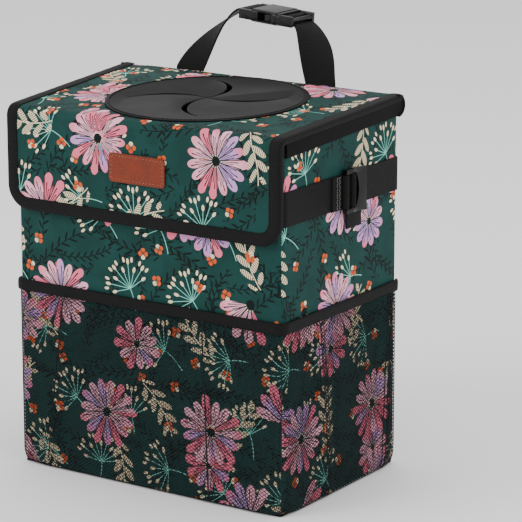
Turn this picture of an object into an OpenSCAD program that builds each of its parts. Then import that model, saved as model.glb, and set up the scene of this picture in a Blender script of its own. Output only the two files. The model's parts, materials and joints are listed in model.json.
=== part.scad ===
// Car trash bin: a sewn box of printed cloth over stiff boards and a waterproof liner.
// Its lid folds down the front as a flap and carries a pinwheel insert for litter.
// Net pockets, an adjustable belt and a buckled carry handle are sewn to the outside.
// X is to the right seen from the front, Y to the back, Z up, origin at the base's centre.

/* [Body] */
// Outside width of the cloth body
body_w = 240; // [210:1:300]
// Outside depth of the cloth body
body_d = 158; // [157:1:200]
// Corner radius of the body seen from above
corner_r = 5; // [4.5:0.5:12]
// Thickness of the printed cloth
cloth_t = 1; // [0.6:0.1:1.4]
// Thickness of the boards that stiffen the walls, base, lid and flap
board_t = 2; // [1:0.1:3]
// Thickness of the waterproof liner
liner_t = 0.8; // [0.5:0.1:1.2]

/* [Lid] */
// Height of the lid's top face above the front wall
lid_front_z = 280; // [260:1:320]
// Rise of the lid's top face from the front wall to the back wall
lid_rise = 7; // [2:0.5:12]
// Stand of the lid's side edges over the body's sides
lid_over = 2; // [1.6:0.1:4]
// Further stand of the lid's left edge at the back
lid_flare = 13; // [0:1:16]
// Outside radius of the fold between lid and flap
fold_r = 8; // [6.5:0.5:9]
// Height of the flap from the lid's top face to the flap's lower edge
flap_h = 78.5; // [65:0.5:100]
// Radius of the flap's lower corners
flap_corner_r = 18; // [10:1:30]
// Height of the cloth skirt under each side edge of the lid
skirt_h = 10; // [6:0.5:16]
// Thickness of the skirt cloth
skirt_t = 1; // [0.6:0.1:1.4]
// Reach of the skirt behind the back wall
skirt_back = 2.5; // [1:0.5:5]
// Gap between the lid's underside and the rim of the body
lid_clear = 0.4; // [0.3:0.1:1]

/* [Edge binding] */
// Width of the binding tape on each face of the lid and flap
bind_w = 9; // [6:0.5:12]
// Thickness of the binding tape
bind_t = 0.9; // [0.6:0.1:1.2]
// Depth of the tape that binds the rim of the body
rim_bind_h = 9; // [6:0.5:14]
// Thickness of the tape that binds the rim of the body
rim_bind_t = 0.8; // [0.5:0.1:1.2]

/* [Lid insert] */
// Outside diameter of the moulded insert
insert_d = 153; // [120:1:153]
// Width of the lip that lies on the lid round the insert's hole
insert_lip = 5; // [4:0.5:8]
// Thickness of the lip and the membrane above the cloth
insert_t = 1.2; // [0.8:0.1:2]
// Distance of the insert's centre behind the body's centre
insert_back = 0.5; // [0:0.1:0.6]
// Number of petals that the slits cut
petals = 4; // [3:1:6]
// Solid ring left between the slits' ends and the insert's edge
slit_margin = 15.5; // [12:0.5:30]
// Height of each slit's arc over its chord
slit_bulge = 13; // [6:0.5:16]
// Width of a slit at the middle of its arc
slit_mid_w = 4.4; // [2:0.2:6]
// Width of a slit at its ends
slit_end_w = 1; // [0.6:0.1:1.6]

/* [Patch] */
// Width of the leather patch
patch_w = 50; // [30:1:80]
// Height of the leather patch
patch_h = 21.5; // [14:0.5:30]
// Thickness of the leather patch
patch_t = 1.4; // [0.8:0.1:2]
// Height of the patch's centre above the flap's lower edge
patch_up = 42; // [30:1:50]

/* [Closure] */
// Width of the hook and loop tapes
tape_w = 90; // [40:1:160]
// Height of the hook and loop tapes
tape_h = 20; // [12:1:25]
// Thickness of each tape
tape_t = 1.1; // [0.8:0.1:1.6]
// Smallest gap between the closed tapes
tape_gap = 0.3; // [0.3:0.1:0.6]

/* [Pocket nets] */
// Height of the pockets' top edge
pocket_h = 146; // [110:1:185]
// Height of the elastic band along the pockets' top
band_h = 8.7; // [6:0.1:14]
// Thickness of each leg of the folded band
band_t = 0.9; // [0.6:0.1:1.2]
// Thickness of the net
net_t = 0.9; // [0.6:0.1:1.4]
// Width of one diamond gap with its strand
cell_w = 23; // [20:1:40]
// Height of one diamond gap with its strand
cell_h = 21; // [18:1:40]
// Width of the strands between the gaps
strand_w = 4; // [2.5:0.5:6]
// Height of the gathers that stand out of the net
gather_h = 3.2; // [1:0.2:5]
// Half width of a gather at its foot
gather_w = 8; // [5:0.5:12]

/* [Webbing and belt] */
// Width of the webbing
web_w = 25.4; // [20:0.1:30]
// Thickness of the webbing
web_t = 1.4; // [1:0.1:1.8]
// Height of the belt's centre line above the floor
belt_z = 228.3; // [205:0.1:235]
// Distance of the lock's pivot bar in front of the body's centre
lock_front = 2; // [-10:0.5:20]
// Length of the double layer sewn behind the belt loop
loop_lap = 12; // [8:0.5:20]
// Length of the belt's loose end below the belt
tail_drop = 16; // [10:0.5:30]
// Width of the belt's loose end where it hangs
tail_w = 20; // [14:0.5:25]

/* [Ladder lock] */
// Length of the lock from its pivot bar to its lifting edge
lock_len = 28; // [26:0.5:36]
// Diameter of the lock's bars
lock_bar_d = 3.4; // [2.8:0.1:3.8]
// Width of each side rail of the lock
rail_w = 3.2; // [2.4:0.1:4.5]
// Thickness of the lock's rails
lock_t = 3; // [2.4:0.1:4]
// Rise of the lifting plate at its free edge
lock_lift = 3.4; // [1:0.2:5]

/* [Handle] */
// Distance of the left leg's centre left of the body's centre
leg_left = 75; // [68:1:90]
// Distance of the right leg's centre right of the body's centre
leg_right = 49; // [44:1:80]
// Height of the buckle's centre above the lid's hinge
handle_rise = 46; // [42:1:70]
// Distance of the buckle's centre behind the back wall
handle_lean = 25; // [24:1:40]
// Distance of the buckle's centre left of the body's centre
buckle_left = 7; // [3:1:12]
// Slope of the buckle down to the right, in degrees
buckle_tilt = 4; // [0:0.5:8]
// Length of webbing of each leg below the hinge on the back wall
leg_sewn = 38; // [34:1:42]

/* [Handle buckle] */
// Overall width of the buckle
buckle_w = 33; // [32:0.5:38]
// Thickness of the buckle's housing
buckle_t = 10.4; // [9.8:0.2:13]
// Length of the housing from its mouth to its webbing end
housing_len = 45; // [42:0.5:54]
// Length of the plug outside the housing
plug_len = 19.5; // [18:0.5:26]
// Depth of the socket behind the housing's mouth
socket_len = 26; // [24:0.5:28]
// Wall thickness of the housing above and below the socket
housing_wall = 1.9; // [1.4:0.1:2.2]
// Diameter of the webbing bars
web_bar_d = 3.8; // [3:0.1:4.2]
// Running clearance of the plug in its socket and of webbing round a bar
run_clear = 0.3; // [0.25:0.05:0.5]

/* [Hidden] */
$fn = 64;

// Length that passes everything, for cuts
far = 600;
// Gap between soft pieces that move past each other
soft_clear = 0.3;

// Layers of a wall, from the outside in: cloth, board, liner
liner_in = cloth_t + board_t;
wall_t = cloth_t + board_t + liner_t;

// The lid and the flap have the same layers, with a lining for the liner
lid_t = wall_t;
tilt = atan(lid_rise / body_d);
lid_mid_z = lid_front_z + lid_rise / 2;
hinge_y = body_d / 2 + 0.6;
hinge_z = lid_mid_z + hinge_y * tan(tilt);
lid_back_y = body_d / 2;
lid_half_w = body_w / 2 + lid_over;

// The flap hangs in front of the closed tapes and of the belt's ends
flap_gap = max(2 * tape_t + tape_gap, web_t + bind_t + soft_clear);
flap_out_y = -(body_d / 2 + flap_gap + lid_t);
fold_y = flap_out_y + fold_r;
fold_z = lid_mid_z + fold_y * tan(tilt) - fold_r / cos(tilt);
// The same pivot seen in the lid's own frame
fold_lid_y = fold_y * cos(tilt) + (fold_z - lid_mid_z) * sin(tilt);
fold_seam = 0.15;
// Depth of the rim's top below the lid's top face: clear of the lid's underside,
// and of the binding inside the fold as the flap turns up
fold_in_r = fold_r - lid_t - bind_t - soft_clear;
rim_edge_y = body_d / 2 + rim_bind_t;
rim_rise = sqrt(max(0, pow(fold_in_r, 2) - pow(rim_edge_y + fold_y, 2)));
rim_down = max(
    lid_t + bind_t + lid_clear,
    lid_mid_z - rim_edge_y * tan(tilt) - fold_z - rim_rise
);
flap_len = fold_z - (lid_front_z - flap_h) - bind_t;
flap_bottom_z = fold_z - flap_len;
tape_z = flap_bottom_z + bind_w + 1;
lid_len = lid_back_y - fold_lid_y;
flare_angle = atan(lid_flare / lid_len);
// Inner face of the skirts, measured outwards from the lid's side edge
skirt_in = rim_bind_t + soft_clear - lid_over;

// The insert's neck, inner lip and slits
insert_r = insert_d / 2;
hole_r = insert_r - insert_lip;
neck_r = hole_r - run_clear;
neck_t = 2;
inner_lip_w = 2.3;
inner_lip_t = 1;
membrane_t = insert_t + 0.6;
bead_r = 0.6;
slit_reach = insert_r - slit_margin;
slit_r = (slit_reach * slit_reach / 4 + slit_bulge * slit_bulge) / (2 * slit_bulge);
slit_half_angle = asin(slit_reach / 2 / slit_r);
// Turn of the whole pinwheel, so that one slit starts towards the back
pinwheel_turn = 118;

// The net stands off the wall by the band's inner leg, on the base panel's edge
net_in = band_t;
net_out = band_t + net_t;
band_out = net_out + band_t;
net_low_z = cloth_t;
front_gathers = [-83, 56];
side_gathers = [-27, 50];

// Layers behind the back wall: rim binding, hinge cloth, handle webbing
hinge_cloth_out = rim_bind_t + cloth_t;
hinge_cloth_low = 6;
leg_y = body_d / 2 + hinge_cloth_out + 0.05 + web_t / 2;
leg_sewn_y = body_d / 2 + web_t / 2;
leg_top_z = hinge_z - 2;

// Belt loop on the right wall: a ring of webbing round the lock's pivot bar
side_x = body_w / 2;
loop_in_r = lock_bar_d / 2 + run_clear;
loop_out_r = loop_in_r + web_t;
lock_x = side_x + loop_out_r;
lock_y = -lock_front;
belt_half = web_w / 2;
// Height of the lock's rails over the wall, clear of two layers of webbing
rail_low = 2 * web_t + 0.4;
rail_in = belt_half + 0.4;
lock_half = rail_in + rail_w;
mid_bar_x = side_x + rail_low + lock_t / 2;
mid_bar_y = lock_y + 9.6;
turn_r = lock_bar_d / 2 + run_clear + web_t / 2;
turn_foot_y = lock_y + loop_out_r + 1.2 + web_t / 2;
turn_end_y = lock_y + 14.4;
plate_y = lock_y + 15.6;

// Handle buckle: its own frame has X along the buckle towards the plug
buckle_pos = [-buckle_left, body_d / 2 + handle_lean, hinge_z + handle_rise];
mouth_x = 13;
housing_end = mouth_x - housing_len;
socket_back = mouth_x - socket_len;
plug_root = mouth_x + run_clear;
plug_end = plug_root + plug_len;
strap_slot_half = web_w / 2 + 0.5;
web_bar_r = web_bar_d / 2;
strap_in_r = web_bar_r + run_clear;
strap_ring_r = strap_in_r + web_t;
strap_line = strap_ring_r - web_t / 2;
// Place where a leg's webbing runs into the ring round its bar
strap_tip_x = 0.8 * web_bar_r;
strap_tip_z = (
    sqrt(pow(strap_in_r, 2) - pow(strap_tip_x, 2))
    + sqrt(pow(strap_ring_r, 2) - pow(strap_tip_x, 2))
) / 2;
housing_bar_x = housing_end + 3.8;
plug_bar_x = plug_end - 11;
plug_outer_bar_x = plug_end - 2.2;
socket_h = buckle_t - 2 * housing_wall;
socket_half = buckle_w / 2 - 2.7;
window_front = mouth_x - 5.5;
window_back = mouth_x - 22;
catch_x = window_front - 0.4;

// Colours
print_color = "#1f4e4b";
binding_color = "#1b1919";
net_color = "#2a3435";
lining_color = "#26282a";
board_color = "#c9c6bd";
liner_color = "#8d9092";
rubber_color = "#3d3d3d";
plastic_color = "#2b2b2c";
leather_color = "#96462a";

// Rounded rectangle centred on the origin
module rounded_rect(w, d, r) {
    square([w - 2 * r, d], center = true);
    square([w, d - 2 * r], center = true);
    for (x = [-1, 1])
        for (y = [-1, 1])
            translate([x * (w / 2 - r), y * (d / 2 - r)]) circle(r);
}

// Outline of the body seen from above, grown outwards by off
module body_outline(off) {
    rounded_rect(body_w + 2 * off, body_d + 2 * off, corner_r + off);
}

// Strip along the body's wall between two offsets, negative towards the inside
module wall_strip(out_off, in_off) {
    difference() {
        body_outline(out_off);
        body_outline(in_off);
    }
}

// Part of the plan that faces the front, cut on the corners' mitre lines
module front_quarter(reach = 20, depth = 60) {
    polygon([
        [-body_w / 2 - reach, -body_d / 2 - reach],
        [body_w / 2 + reach, -body_d / 2 - reach],
        [body_w / 2 - depth, -body_d / 2 + depth],
        [-body_w / 2 + depth, -body_d / 2 + depth]
    ]);
}

// Part of the plan that faces the right, cut on the corners' mitre lines
module right_quarter(reach = 20, depth = 60) {
    polygon([
        [body_w / 2 + reach, -body_d / 2 - reach],
        [body_w / 2 + reach, body_d / 2 + reach],
        [body_w / 2 - depth, body_d / 2 - depth],
        [body_w / 2 - depth, -body_d / 2 + depth]
    ]);
}

// Extrudes a shape drawn in depth and height along the width of the body
module along_x(length) {
    rotate([90, 0, 90]) linear_extrude(height = length, center = true) children();
}

// Space under a plane at the given depth below the lid's top face
module under_lid(down) {
    top = lid_mid_z - down / cos(tilt);
    along_x(far)
        polygon([
            [-far, -far],
            [far, -far],
            [far, top + far * tan(tilt)],
            [-far, top - far * tan(tilt)]
        ]);
}

// A plan shape raised from a floor height to a plane under the lid
module raised(low_z, down) {
    intersection() {
        translate([0, 0, low_z]) linear_extrude(height = far) children();
        under_lid(down);
    }
}

// Base cloth, whose edge carries the nets and the walls
module base_panel() {
    color(binding_color)
        linear_extrude(height = cloth_t)
            rounded_rect(body_w + 2 * net_out, body_d + 2 * net_out, net_out);
}

module front_panel() {
    color(print_color)
        raised(cloth_t, rim_down + rim_bind_t)
            intersection() {
                wall_strip(0, -cloth_t);
                front_quarter();
            }
}

module back_panel() {
    color(print_color)
        raised(cloth_t, rim_down + rim_bind_t)
            intersection() {
                wall_strip(0, -cloth_t);
                mirror([0, 1]) front_quarter();
            }
}

module right_panel() {
    color(print_color)
        raised(cloth_t, rim_down + rim_bind_t)
            intersection() {
                wall_strip(0, -cloth_t);
                right_quarter();
            }
}

module left_panel() {
    mirror([1, 0, 0]) right_panel();
}

module base_board() {
    color(board_color)
        translate([0, 0, cloth_t])
            linear_extrude(height = board_t) body_outline(-cloth_t);
}

// Board between the cloth and the liner, flat between the corners' curves
module wall_board(width, middle) {
    color(board_color)
        raised(cloth_t + board_t, rim_down + rim_bind_t)
            translate(middle) square(width, center = true);
}

module front_board() {
    wall_board([body_w - 2 * corner_r, board_t], [0, -body_d / 2 + cloth_t + board_t / 2]);
}

module back_board() {
    wall_board([body_w - 2 * corner_r, board_t], [0, body_d / 2 - cloth_t - board_t / 2]);
}

module right_board() {
    wall_board([board_t, body_d - 2 * corner_r], [body_w / 2 - cloth_t - board_t / 2, 0]);
}

module left_board() {
    mirror([1, 0, 0]) right_board();
}

// Waterproof liner: an open box welded at its seams
module liner() {
    color(liner_color)
        difference() {
            raised(cloth_t + board_t, rim_down + rim_bind_t) body_outline(-liner_in);
            translate([0, 0, cloth_t + board_t + liner_t])
                linear_extrude(height = far) body_outline(-wall_t);
        }
}

// Tape folded over the rim, closing cloth, boards and liner
module rim_binding() {
    color(binding_color)
        difference() {
            raised(0, rim_down) wall_strip(rim_bind_t, -wall_t - rim_bind_t);
            under_lid(rim_down + rim_bind_h);
            raised(-1, rim_down + rim_bind_t) wall_strip(0, -wall_t);
        }
}

// Loop tape on the front wall, behind the hook tape of the closed flap
module loop_tape() {
    color(binding_color)
        translate([-tape_w / 2, -body_d / 2 - tape_t, tape_z])
            cube([tape_w, tape_t, tape_h]);
}

// Points of a net's face along its wall, standing out at each gather
function gather_points(places, off) = [
    for (p = places)
        for (k = [-2:2])
            [p + k * gather_w / 2, -off - gather_h * (2 - abs(k)) / 2]
];

function reversed(points) = [for (i = [len(points) - 1:-1:0]) points[i]];

// Plan of a net on a wall of the given length, facing down the page
module net_plan(wall, places) {
    half = wall / 2;
    polygon(concat(
        [[-half - net_out, -net_out]],
        gather_points(places, net_out),
        [[half + net_out, -net_out], [half + net_in, -net_in]],
        reversed(gather_points(places, net_in)),
        [[-half - net_in, -net_in]]
    ));
}

// Diamond gaps of a net in its face, centred on the wall
module net_gaps(wall) {
    top = pocket_h - band_h;
    cols = floor((wall - 2 * strand_w) / cell_w);
    rows = floor((top - net_low_z - strand_w) / cell_h);
    gap_w = cell_w - strand_w;
    gap_h = cell_h - strand_w;
    low = (top + net_low_z - rows * cell_h) / 2;
    for (row = [0:2 * rows - 2]) {
        odd = row % 2;
        for (col = [0:cols - 1 - odd])
            translate([
                (col - (cols - 1 - odd) / 2) * cell_w,
                low + (row + 1) * cell_h / 2
            ])
                polygon([[-gap_w / 2, 0], [0, -gap_h / 2], [gap_w / 2, 0], [0, gap_h / 2]]);
    }
}

// Net pocket on a wall of the given length, gathered below its band
module net_pocket(wall, places) {
    gather_top = pocket_h - band_h - net_t;
    color(net_color)
        difference() {
            union() {
                translate([0, 0, net_low_z])
                    linear_extrude(height = gather_top - net_low_z) net_plan(wall, places);
                translate([0, 0, gather_top])
                    linear_extrude(height = pocket_h - band_t - gather_top) net_plan(wall, []);
            }
            rotate([90, 0, 0])
                linear_extrude(height = far, center = true) net_gaps(wall);
        }
}

// Elastic band folded over the net's top edge
module net_band(wall) {
    half = wall / 2;
    color(binding_color)
        difference() {
            translate([0, 0, pocket_h - band_h])
                linear_extrude(height = band_h)
                    polygon([
                        [-half - band_out, -band_out],
                        [half + band_out, -band_out],
                        [half, 0],
                        [-half, 0]
                    ]);
            linear_extrude(height = pocket_h - band_t) net_plan(wall, []);
        }
}

// Places a pocket piece, drawn facing down the page, on a wall of the body
module on_front() {
    translate([0, -body_d / 2, 0]) children();
}

module on_right() {
    rotate([0, 0, 90]) translate([0, -body_w / 2, 0]) children();
}

module on_left() {
    mirror([1, 0, 0]) on_right() children();
}

module front_net() {
    on_front() net_pocket(body_w, front_gathers);
}

module right_net() {
    on_right() net_pocket(body_d, side_gathers);
}

module left_net() {
    on_left() net_pocket(body_d, side_gathers);
}

module front_net_band() {
    on_front() net_band(body_w);
}

module right_net_band() {
    on_right() net_band(body_d);
}

module left_net_band() {
    on_left() net_band(body_d);
}

// Extrudes a plan over the webbing's width at the belt's height
module belt_band() {
    color(binding_color)
        translate([0, 0, belt_z - belt_half]) linear_extrude(height = web_w) children();
}

// Belt from the lock round the back wall to the seam behind the flap's left edge
module waist_belt() {
    belt_band()
        intersection() {
            wall_strip(web_t, 0);
            polygon([
                [far, turn_foot_y + web_t / 2],
                [far, far],
                [-far, far],
                [-far, -body_d / 2 - far],
                [-body_w / 2 + corner_r, -body_d / 2 - far],
                [-body_w / 2 + corner_r, 0],
                [0, 0],
                [0, turn_foot_y + web_t / 2]
            ]);
        }
}

// Front end of the belt, looped round the lock's pivot bar and sewn back on itself
module belt_stub() {
    belt_band()
        difference() {
            union() {
                intersection() {
                    wall_strip(web_t, 0);
                    translate([body_w / 2 - corner_r, lock_y - far]) square(far);
                }
                translate([lock_x, lock_y]) circle(loop_out_r);
                translate([side_x + web_t, lock_y - loop_out_r - loop_lap])
                    square([web_t, loop_lap + loop_out_r]);
            }
            translate([lock_x, lock_y]) circle(loop_in_r);
        }
}

function unit(v) = v / norm(v);

// Outline of a strip of webbing along a line, both drawn in the plane
function strip_side(line, side) = [
    for (i = [0:len(line) - 1])
        let (along = unit(line[min(i + 1, len(line) - 1)] - line[max(i - 1, 0)]))
            line[i] + side * web_t / 2 * [-along[1], along[0]]
];

// Webbing of the belt where it rises through the lock and turns over its middle bar
module belt_turn() {
    over_bar = [
        for (a = [180:-22.5:0])
            [mid_bar_x + turn_r * sin(a), mid_bar_y + turn_r * cos(a)]
    ];
    line = concat(
        [[side_x, turn_foot_y], [side_x + web_t + 0.2, turn_foot_y]],
        over_bar,
        [
            [side_x + 1.9 * web_t, turn_end_y - 1.6],
            [side_x + 1.5 * web_t, turn_end_y - 0.5],
            [side_x + 1.5 * web_t, turn_end_y]
        ]
    );
    belt_band() polygon(concat(strip_side(line, 1), reversed(strip_side(line, -1))));
}

// Loose end of the belt: it leaves the lock over the belt and hangs down below it
module belt_tail() {
    low_z = belt_z - belt_half;
    shown_y = lock_y + 4;
    color(binding_color)
        translate([side_x + web_t, 0, 0])
            rotate([90, 0, 90])
                linear_extrude(height = web_t) {
                    translate([turn_end_y + 0.1, low_z])
                        square([shown_y + tail_w - turn_end_y - 0.1, web_w]);
                    translate([shown_y, low_z - tail_drop]) square([tail_w, tail_drop]);
                }
}

// Ladder lock: pivot bar in the belt loop, middle bar, and a lifting plate
module ladder_lock() {
    plate_t = 2.2;
    edge_r = 26;
    color(plastic_color)
        translate([0, 0, belt_z]) {
            translate([lock_x, lock_y, 0])
                cylinder(d = lock_bar_d, h = 2 * lock_half, center = true);
            translate([mid_bar_x, mid_bar_y, 0])
                cylinder(d = lock_bar_d, h = 2 * lock_half, center = true);
            for (side = [0, 1])
                mirror([0, 0, side])
                    translate([side_x + rail_low, lock_y, rail_in]) {
                        translate([0, -lock_bar_d / 2, 0])
                            cube([lock_t, plate_y - lock_y + 4, rail_w]);
                    }
            difference() {
                linear_extrude(height = 2 * lock_half, center = true)
                    polygon([
                        [side_x + rail_low + 0.4, plate_y],
                        [side_x + rail_low + lock_lift, lock_y + lock_len],
                        [side_x + rail_low + lock_lift + plate_t, lock_y + lock_len],
                        [side_x + rail_low + 0.4 + plate_t, plate_y]
                    ]);
                translate([side_x, plate_y + 3 - edge_r, 0])
                    rotate([0, 90, 0]) cylinder(r = edge_r, h = far, $fn = 128);
            }
        }
}

// Points of a webbing leg: a curve with four control points
function bezier(p, t) =
    pow(1 - t, 3) * p[0] + 3 * t * pow(1 - t, 2) * p[1]
    + 3 * t * t * (1 - t) * p[2] + pow(t, 3) * p[3];

function bezier_along(p, t) = unit(
    pow(1 - t, 2) * (p[1] - p[0]) + 2 * t * (1 - t) * (p[2] - p[1]) + t * t * (p[3] - p[2])
);

// A place in the buckle's frame, in the frame of the whole bin
function buckle_place(q) = buckle_pos + [
    q[0] * cos(buckle_tilt) + q[2] * sin(buckle_tilt),
    q[1],
    q[2] * cos(buckle_tilt) - q[0] * sin(buckle_tilt)
];

// Width direction of the webbing, square to the line that it follows
function across(wanted, along) = unit(wanted - (wanted * along) * along);

// Four corners of the webbing at a place on its line
function web_corners(middle, along, wanted) =
    let (w = across(wanted, along), n = cross(along, w))
    [
        for (k = [[1, 1], [-1, 1], [-1, -1], [1, -1]])
            middle + k[0] * web_w / 2 * w + k[1] * web_t / 2 * n
    ];

// Webbing swept through rings of four corners, from the first to the last
module swept_webbing(rings) {
    last = len(rings) - 1;
    points = [for (ring = rings) for (corner = ring) corner];
    walls = [
        for (i = [0:last - 1])
            for (j = [0:3])
                for (half = [0, 1])
                    let (
                        a = 4 * i + j,
                        b = 4 * i + (j + 1) % 4
                    )
                    half == 0 ? [a, a + 4, b] : [b, a + 4, b + 4]
    ];
    polyhedron(points, concat([[0, 1, 2, 3]], walls, [[for (j = [3:-1:0]) 4 * last + j]]));
}

// Leg of the handle: sewn to the back wall, then twisted over to the buckle.
// The side is -1 for the left leg and 1 for the right one.
function leg_rings(side, foot_x, ends) =
    let (
        up = [0, 0, 1],
        outward = [side, 0, 0],
        low = leg_top_z - leg_sewn,
        foot = [foot_x, leg_y, leg_top_z],
        curve = [foot, foot + [0, 5, 20], ends[1], ends[0]],
        sewn = [
            [foot_x, leg_sewn_y, low],
            [foot_x, leg_sewn_y, low + 12],
            [foot_x, leg_y, low + 18]
        ]
    )
    concat(
        [for (q = sewn) web_corners(q, up, outward)],
        [
            for (i = [0:20])
                let (t = i / 20, a = 90 * t * t * (3 - 2 * t))
                    web_corners(
                        bezier(curve, t),
                        bezier_along(curve, t),
                        [side * cos(a), sin(a), 0]
                    )
        ]
    );

// Draws in the buckle's own frame
module in_buckle() {
    translate(buckle_pos) rotate([0, buckle_tilt, 0]) children();
}

// Loop of webbing round a bar of the buckle, drawn in a little at its edges
module strap_ring(x) {
    in_buckle()
        translate([x, 0, 0])
            rotate([90, 0, 0])
                difference() {
                    cylinder(r = strap_ring_r, h = web_w - 0.8, center = true);
                    cylinder(r = strap_in_r, h = far, center = true);
                }
}

module handle_strap_left() {
    start = buckle_place([housing_end - 1, 0, strap_line]);
    bend = buckle_place([housing_end - 19, 0, strap_line]);
    tip = buckle_place([housing_bar_x - strap_tip_x, 0, strap_tip_z]);
    rings = leg_rings(-1, -leg_left, [start, bend]);
    color(binding_color) {
        swept_webbing(concat(rings, [web_corners(tip, unit(tip - start), [0, 1, 0])]));
        strap_ring(housing_bar_x);
    }
}

module handle_strap_right() {
    start = buckle_place([plug_end + 1, 0, -strap_line]);
    bend = buckle_place([plug_end + 11, 0, -strap_line]);
    tip = buckle_place([plug_bar_x + strap_tip_x, 0, -strap_tip_z]);
    rings = leg_rings(1, leg_right, [start, bend]);
    color(binding_color) {
        swept_webbing(concat(rings, [web_corners(tip, unit(tip - start), [0, 1, 0])]));
        strap_ring(plug_bar_x);
    }
}

// Extrudes a cross-section of the buckle between two places along it
module buckle_length(from_x, to_x) {
    translate([(from_x + to_x) / 2, 0, 0]) along_x(to_x - from_x) children();
}

// Side rails of a webbing end of the buckle
module strap_rails(from_x, to_x, height) {
    for (side = [-1, 1])
        buckle_length(from_x, to_x)
            translate([side * (strap_slot_half + buckle_w / 2) / 2, 0])
                square([buckle_w / 2 - strap_slot_half, height], center = true);
}

// Bar of the buckle that carries webbing
module strap_bar(x, z, d) {
    translate([x, 0, z])
        rotate([90, 0, 0])
            cylinder(d = d, h = 2 * strap_slot_half + 2, center = true);
}

// Housing of the side-release buckle: socket, side windows and webbing end
module buckle_housing() {
    grip_r = 40;
    grip_depth = 1.5;
    shell_back = socket_back - 4;
    color(plastic_color)
        in_buckle()
            difference() {
                union() {
                    buckle_length(shell_back, mouth_x) rounded_rect(buckle_w, buckle_t, 3.4);
                    strap_rails(housing_end, shell_back + 1, buckle_t - 3);
                    strap_bar(housing_bar_x, 0, web_bar_d);
                    strap_bar(shell_back - 4.4, 0, 3);
                }
                buckle_length(socket_back, mouth_x + 1)
                    rounded_rect(2 * socket_half, socket_h, 1.5);
                for (side = [-1, 1]) {
                    translate([(window_back + window_front) / 2, side * buckle_w / 2, 0])
                        cube([window_front - window_back, 8, socket_h], center = true);
                    translate([
                        (window_back + window_front) / 2,
                        side * (buckle_w / 2 + grip_r - grip_depth),
                        0
                    ])
                        cylinder(r = grip_r, h = far, center = true, $fn = 128);
                }
            }
}

// Plug of the buckle without its prongs: collar, ladder end and centre guide
module buckle_plug() {
    collar_len = 4;
    guide_tip = socket_back + 3;
    color(plastic_color)
        in_buckle() {
            buckle_length(plug_root, plug_root + collar_len)
                rounded_rect(buckle_w, buckle_t - 1, 3);
            strap_rails(plug_root + collar_len, plug_end, buckle_t - 2.4);
            strap_bar(plug_bar_x, 0, web_bar_d);
            strap_bar(plug_outer_bar_x, 0.6, web_bar_d);
            buckle_length(guide_tip, plug_root + 1) rounded_rect(6, 4.4, 1);
        }
}

// Springy prongs of the plug, caught behind the front edge of the side windows
module buckle_prongs() {
    prong_h = socket_h - 1.4;
    side_out = buckle_w / 2 - 0.6;
    color(plastic_color)
        in_buckle()
            for (side = [0, 1])
                mirror([0, side, 0])
                    linear_extrude(height = prong_h, center = true)
                        polygon([
                            [plug_root, 7],
                            [plug_root, 10.2],
                            [catch_x, 11.4],
                            [catch_x, side_out - 0.3],
                            [catch_x - 4.5, side_out],
                            [catch_x - 11, side_out - 2.3],
                            [window_back + 1.5, 10.6],
                            [window_back + 1.5, 9.2],
                            [catch_x - 8, 9.8],
                            [catch_x - 1, 8.4]
                        ]);
}

// Draws in the lid's own frame: Z is 0 on its top face, Y runs back along it
module in_lid() {
    translate([0, 0, lid_mid_z]) rotate([tilt, 0, 0]) children();
}

// Lid outline from the fold to the back wall
module lid_outline() {
    polygon([
        [-lid_half_w, fold_lid_y],
        [lid_half_w, fold_lid_y],
        [lid_half_w, lid_back_y],
        [-lid_half_w - lid_flare, lid_back_y]
    ]);
}

// One layer of the lid between two depths, with the insert's hole
module lid_layer(from_t, to_t) {
    in_lid()
        translate([0, 0, -to_t])
            linear_extrude(height = to_t - from_t)
                difference() {
                    lid_outline();
                    translate([0, insert_back]) circle(hole_r, $fn = 128);
                }
}

module lid_cloth() {
    color(print_color) lid_layer(0, cloth_t);
}

module lid_board() {
    color(board_color) lid_layer(cloth_t, cloth_t + board_t);
}

module lid_lining() {
    color(lining_color) lid_layer(cloth_t + board_t, lid_t);
}

// Strip of cloth that hinges the lid's back edge on the back wall
module lid_hinge_cloth() {
    out_y = body_d / 2 + hinge_cloth_out;
    in_y = body_d / 2 + rim_bind_t;
    near_y = lid_back_y + soft_clear;
    low_z = hinge_z - rim_down - rim_bind_h - hinge_cloth_low;
    top = lid_mid_z;
    rise = tan(tilt);
    color(print_color)
        along_x(body_w - 2 * corner_r)
            polygon([
                [in_y, low_z],
                [out_y, low_z],
                [out_y, top + out_y * rise - cloth_t / 2],
                [out_y - cloth_t / 2, top + (out_y - cloth_t / 2) * rise],
                [near_y, top + near_y * rise],
                [near_y, top + near_y * rise - cloth_t],
                [in_y, top + in_y * rise - cloth_t]
            ]);
}

// Curved slit of the pinwheel, from the centre to its tip on the X axis
module slit() {
    steps = 16;
    half_w = function(t) (slit_end_w + (slit_mid_w - slit_end_w) * pow(sin(180 * t), 2)) / 2;
    place = function(t, side)
        let (
            a = slit_half_angle * (2 * t - 1),
            r = slit_r + side * half_w(t)
        )
        [slit_reach / 2 + r * sin(a), slit_r - slit_bulge - r * cos(a)];
    polygon(concat(
        [for (i = [0:steps]) place(i / steps, 1)],
        [for (i = [steps:-1:0]) place(i / steps, -1)]
    ));
}

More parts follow.
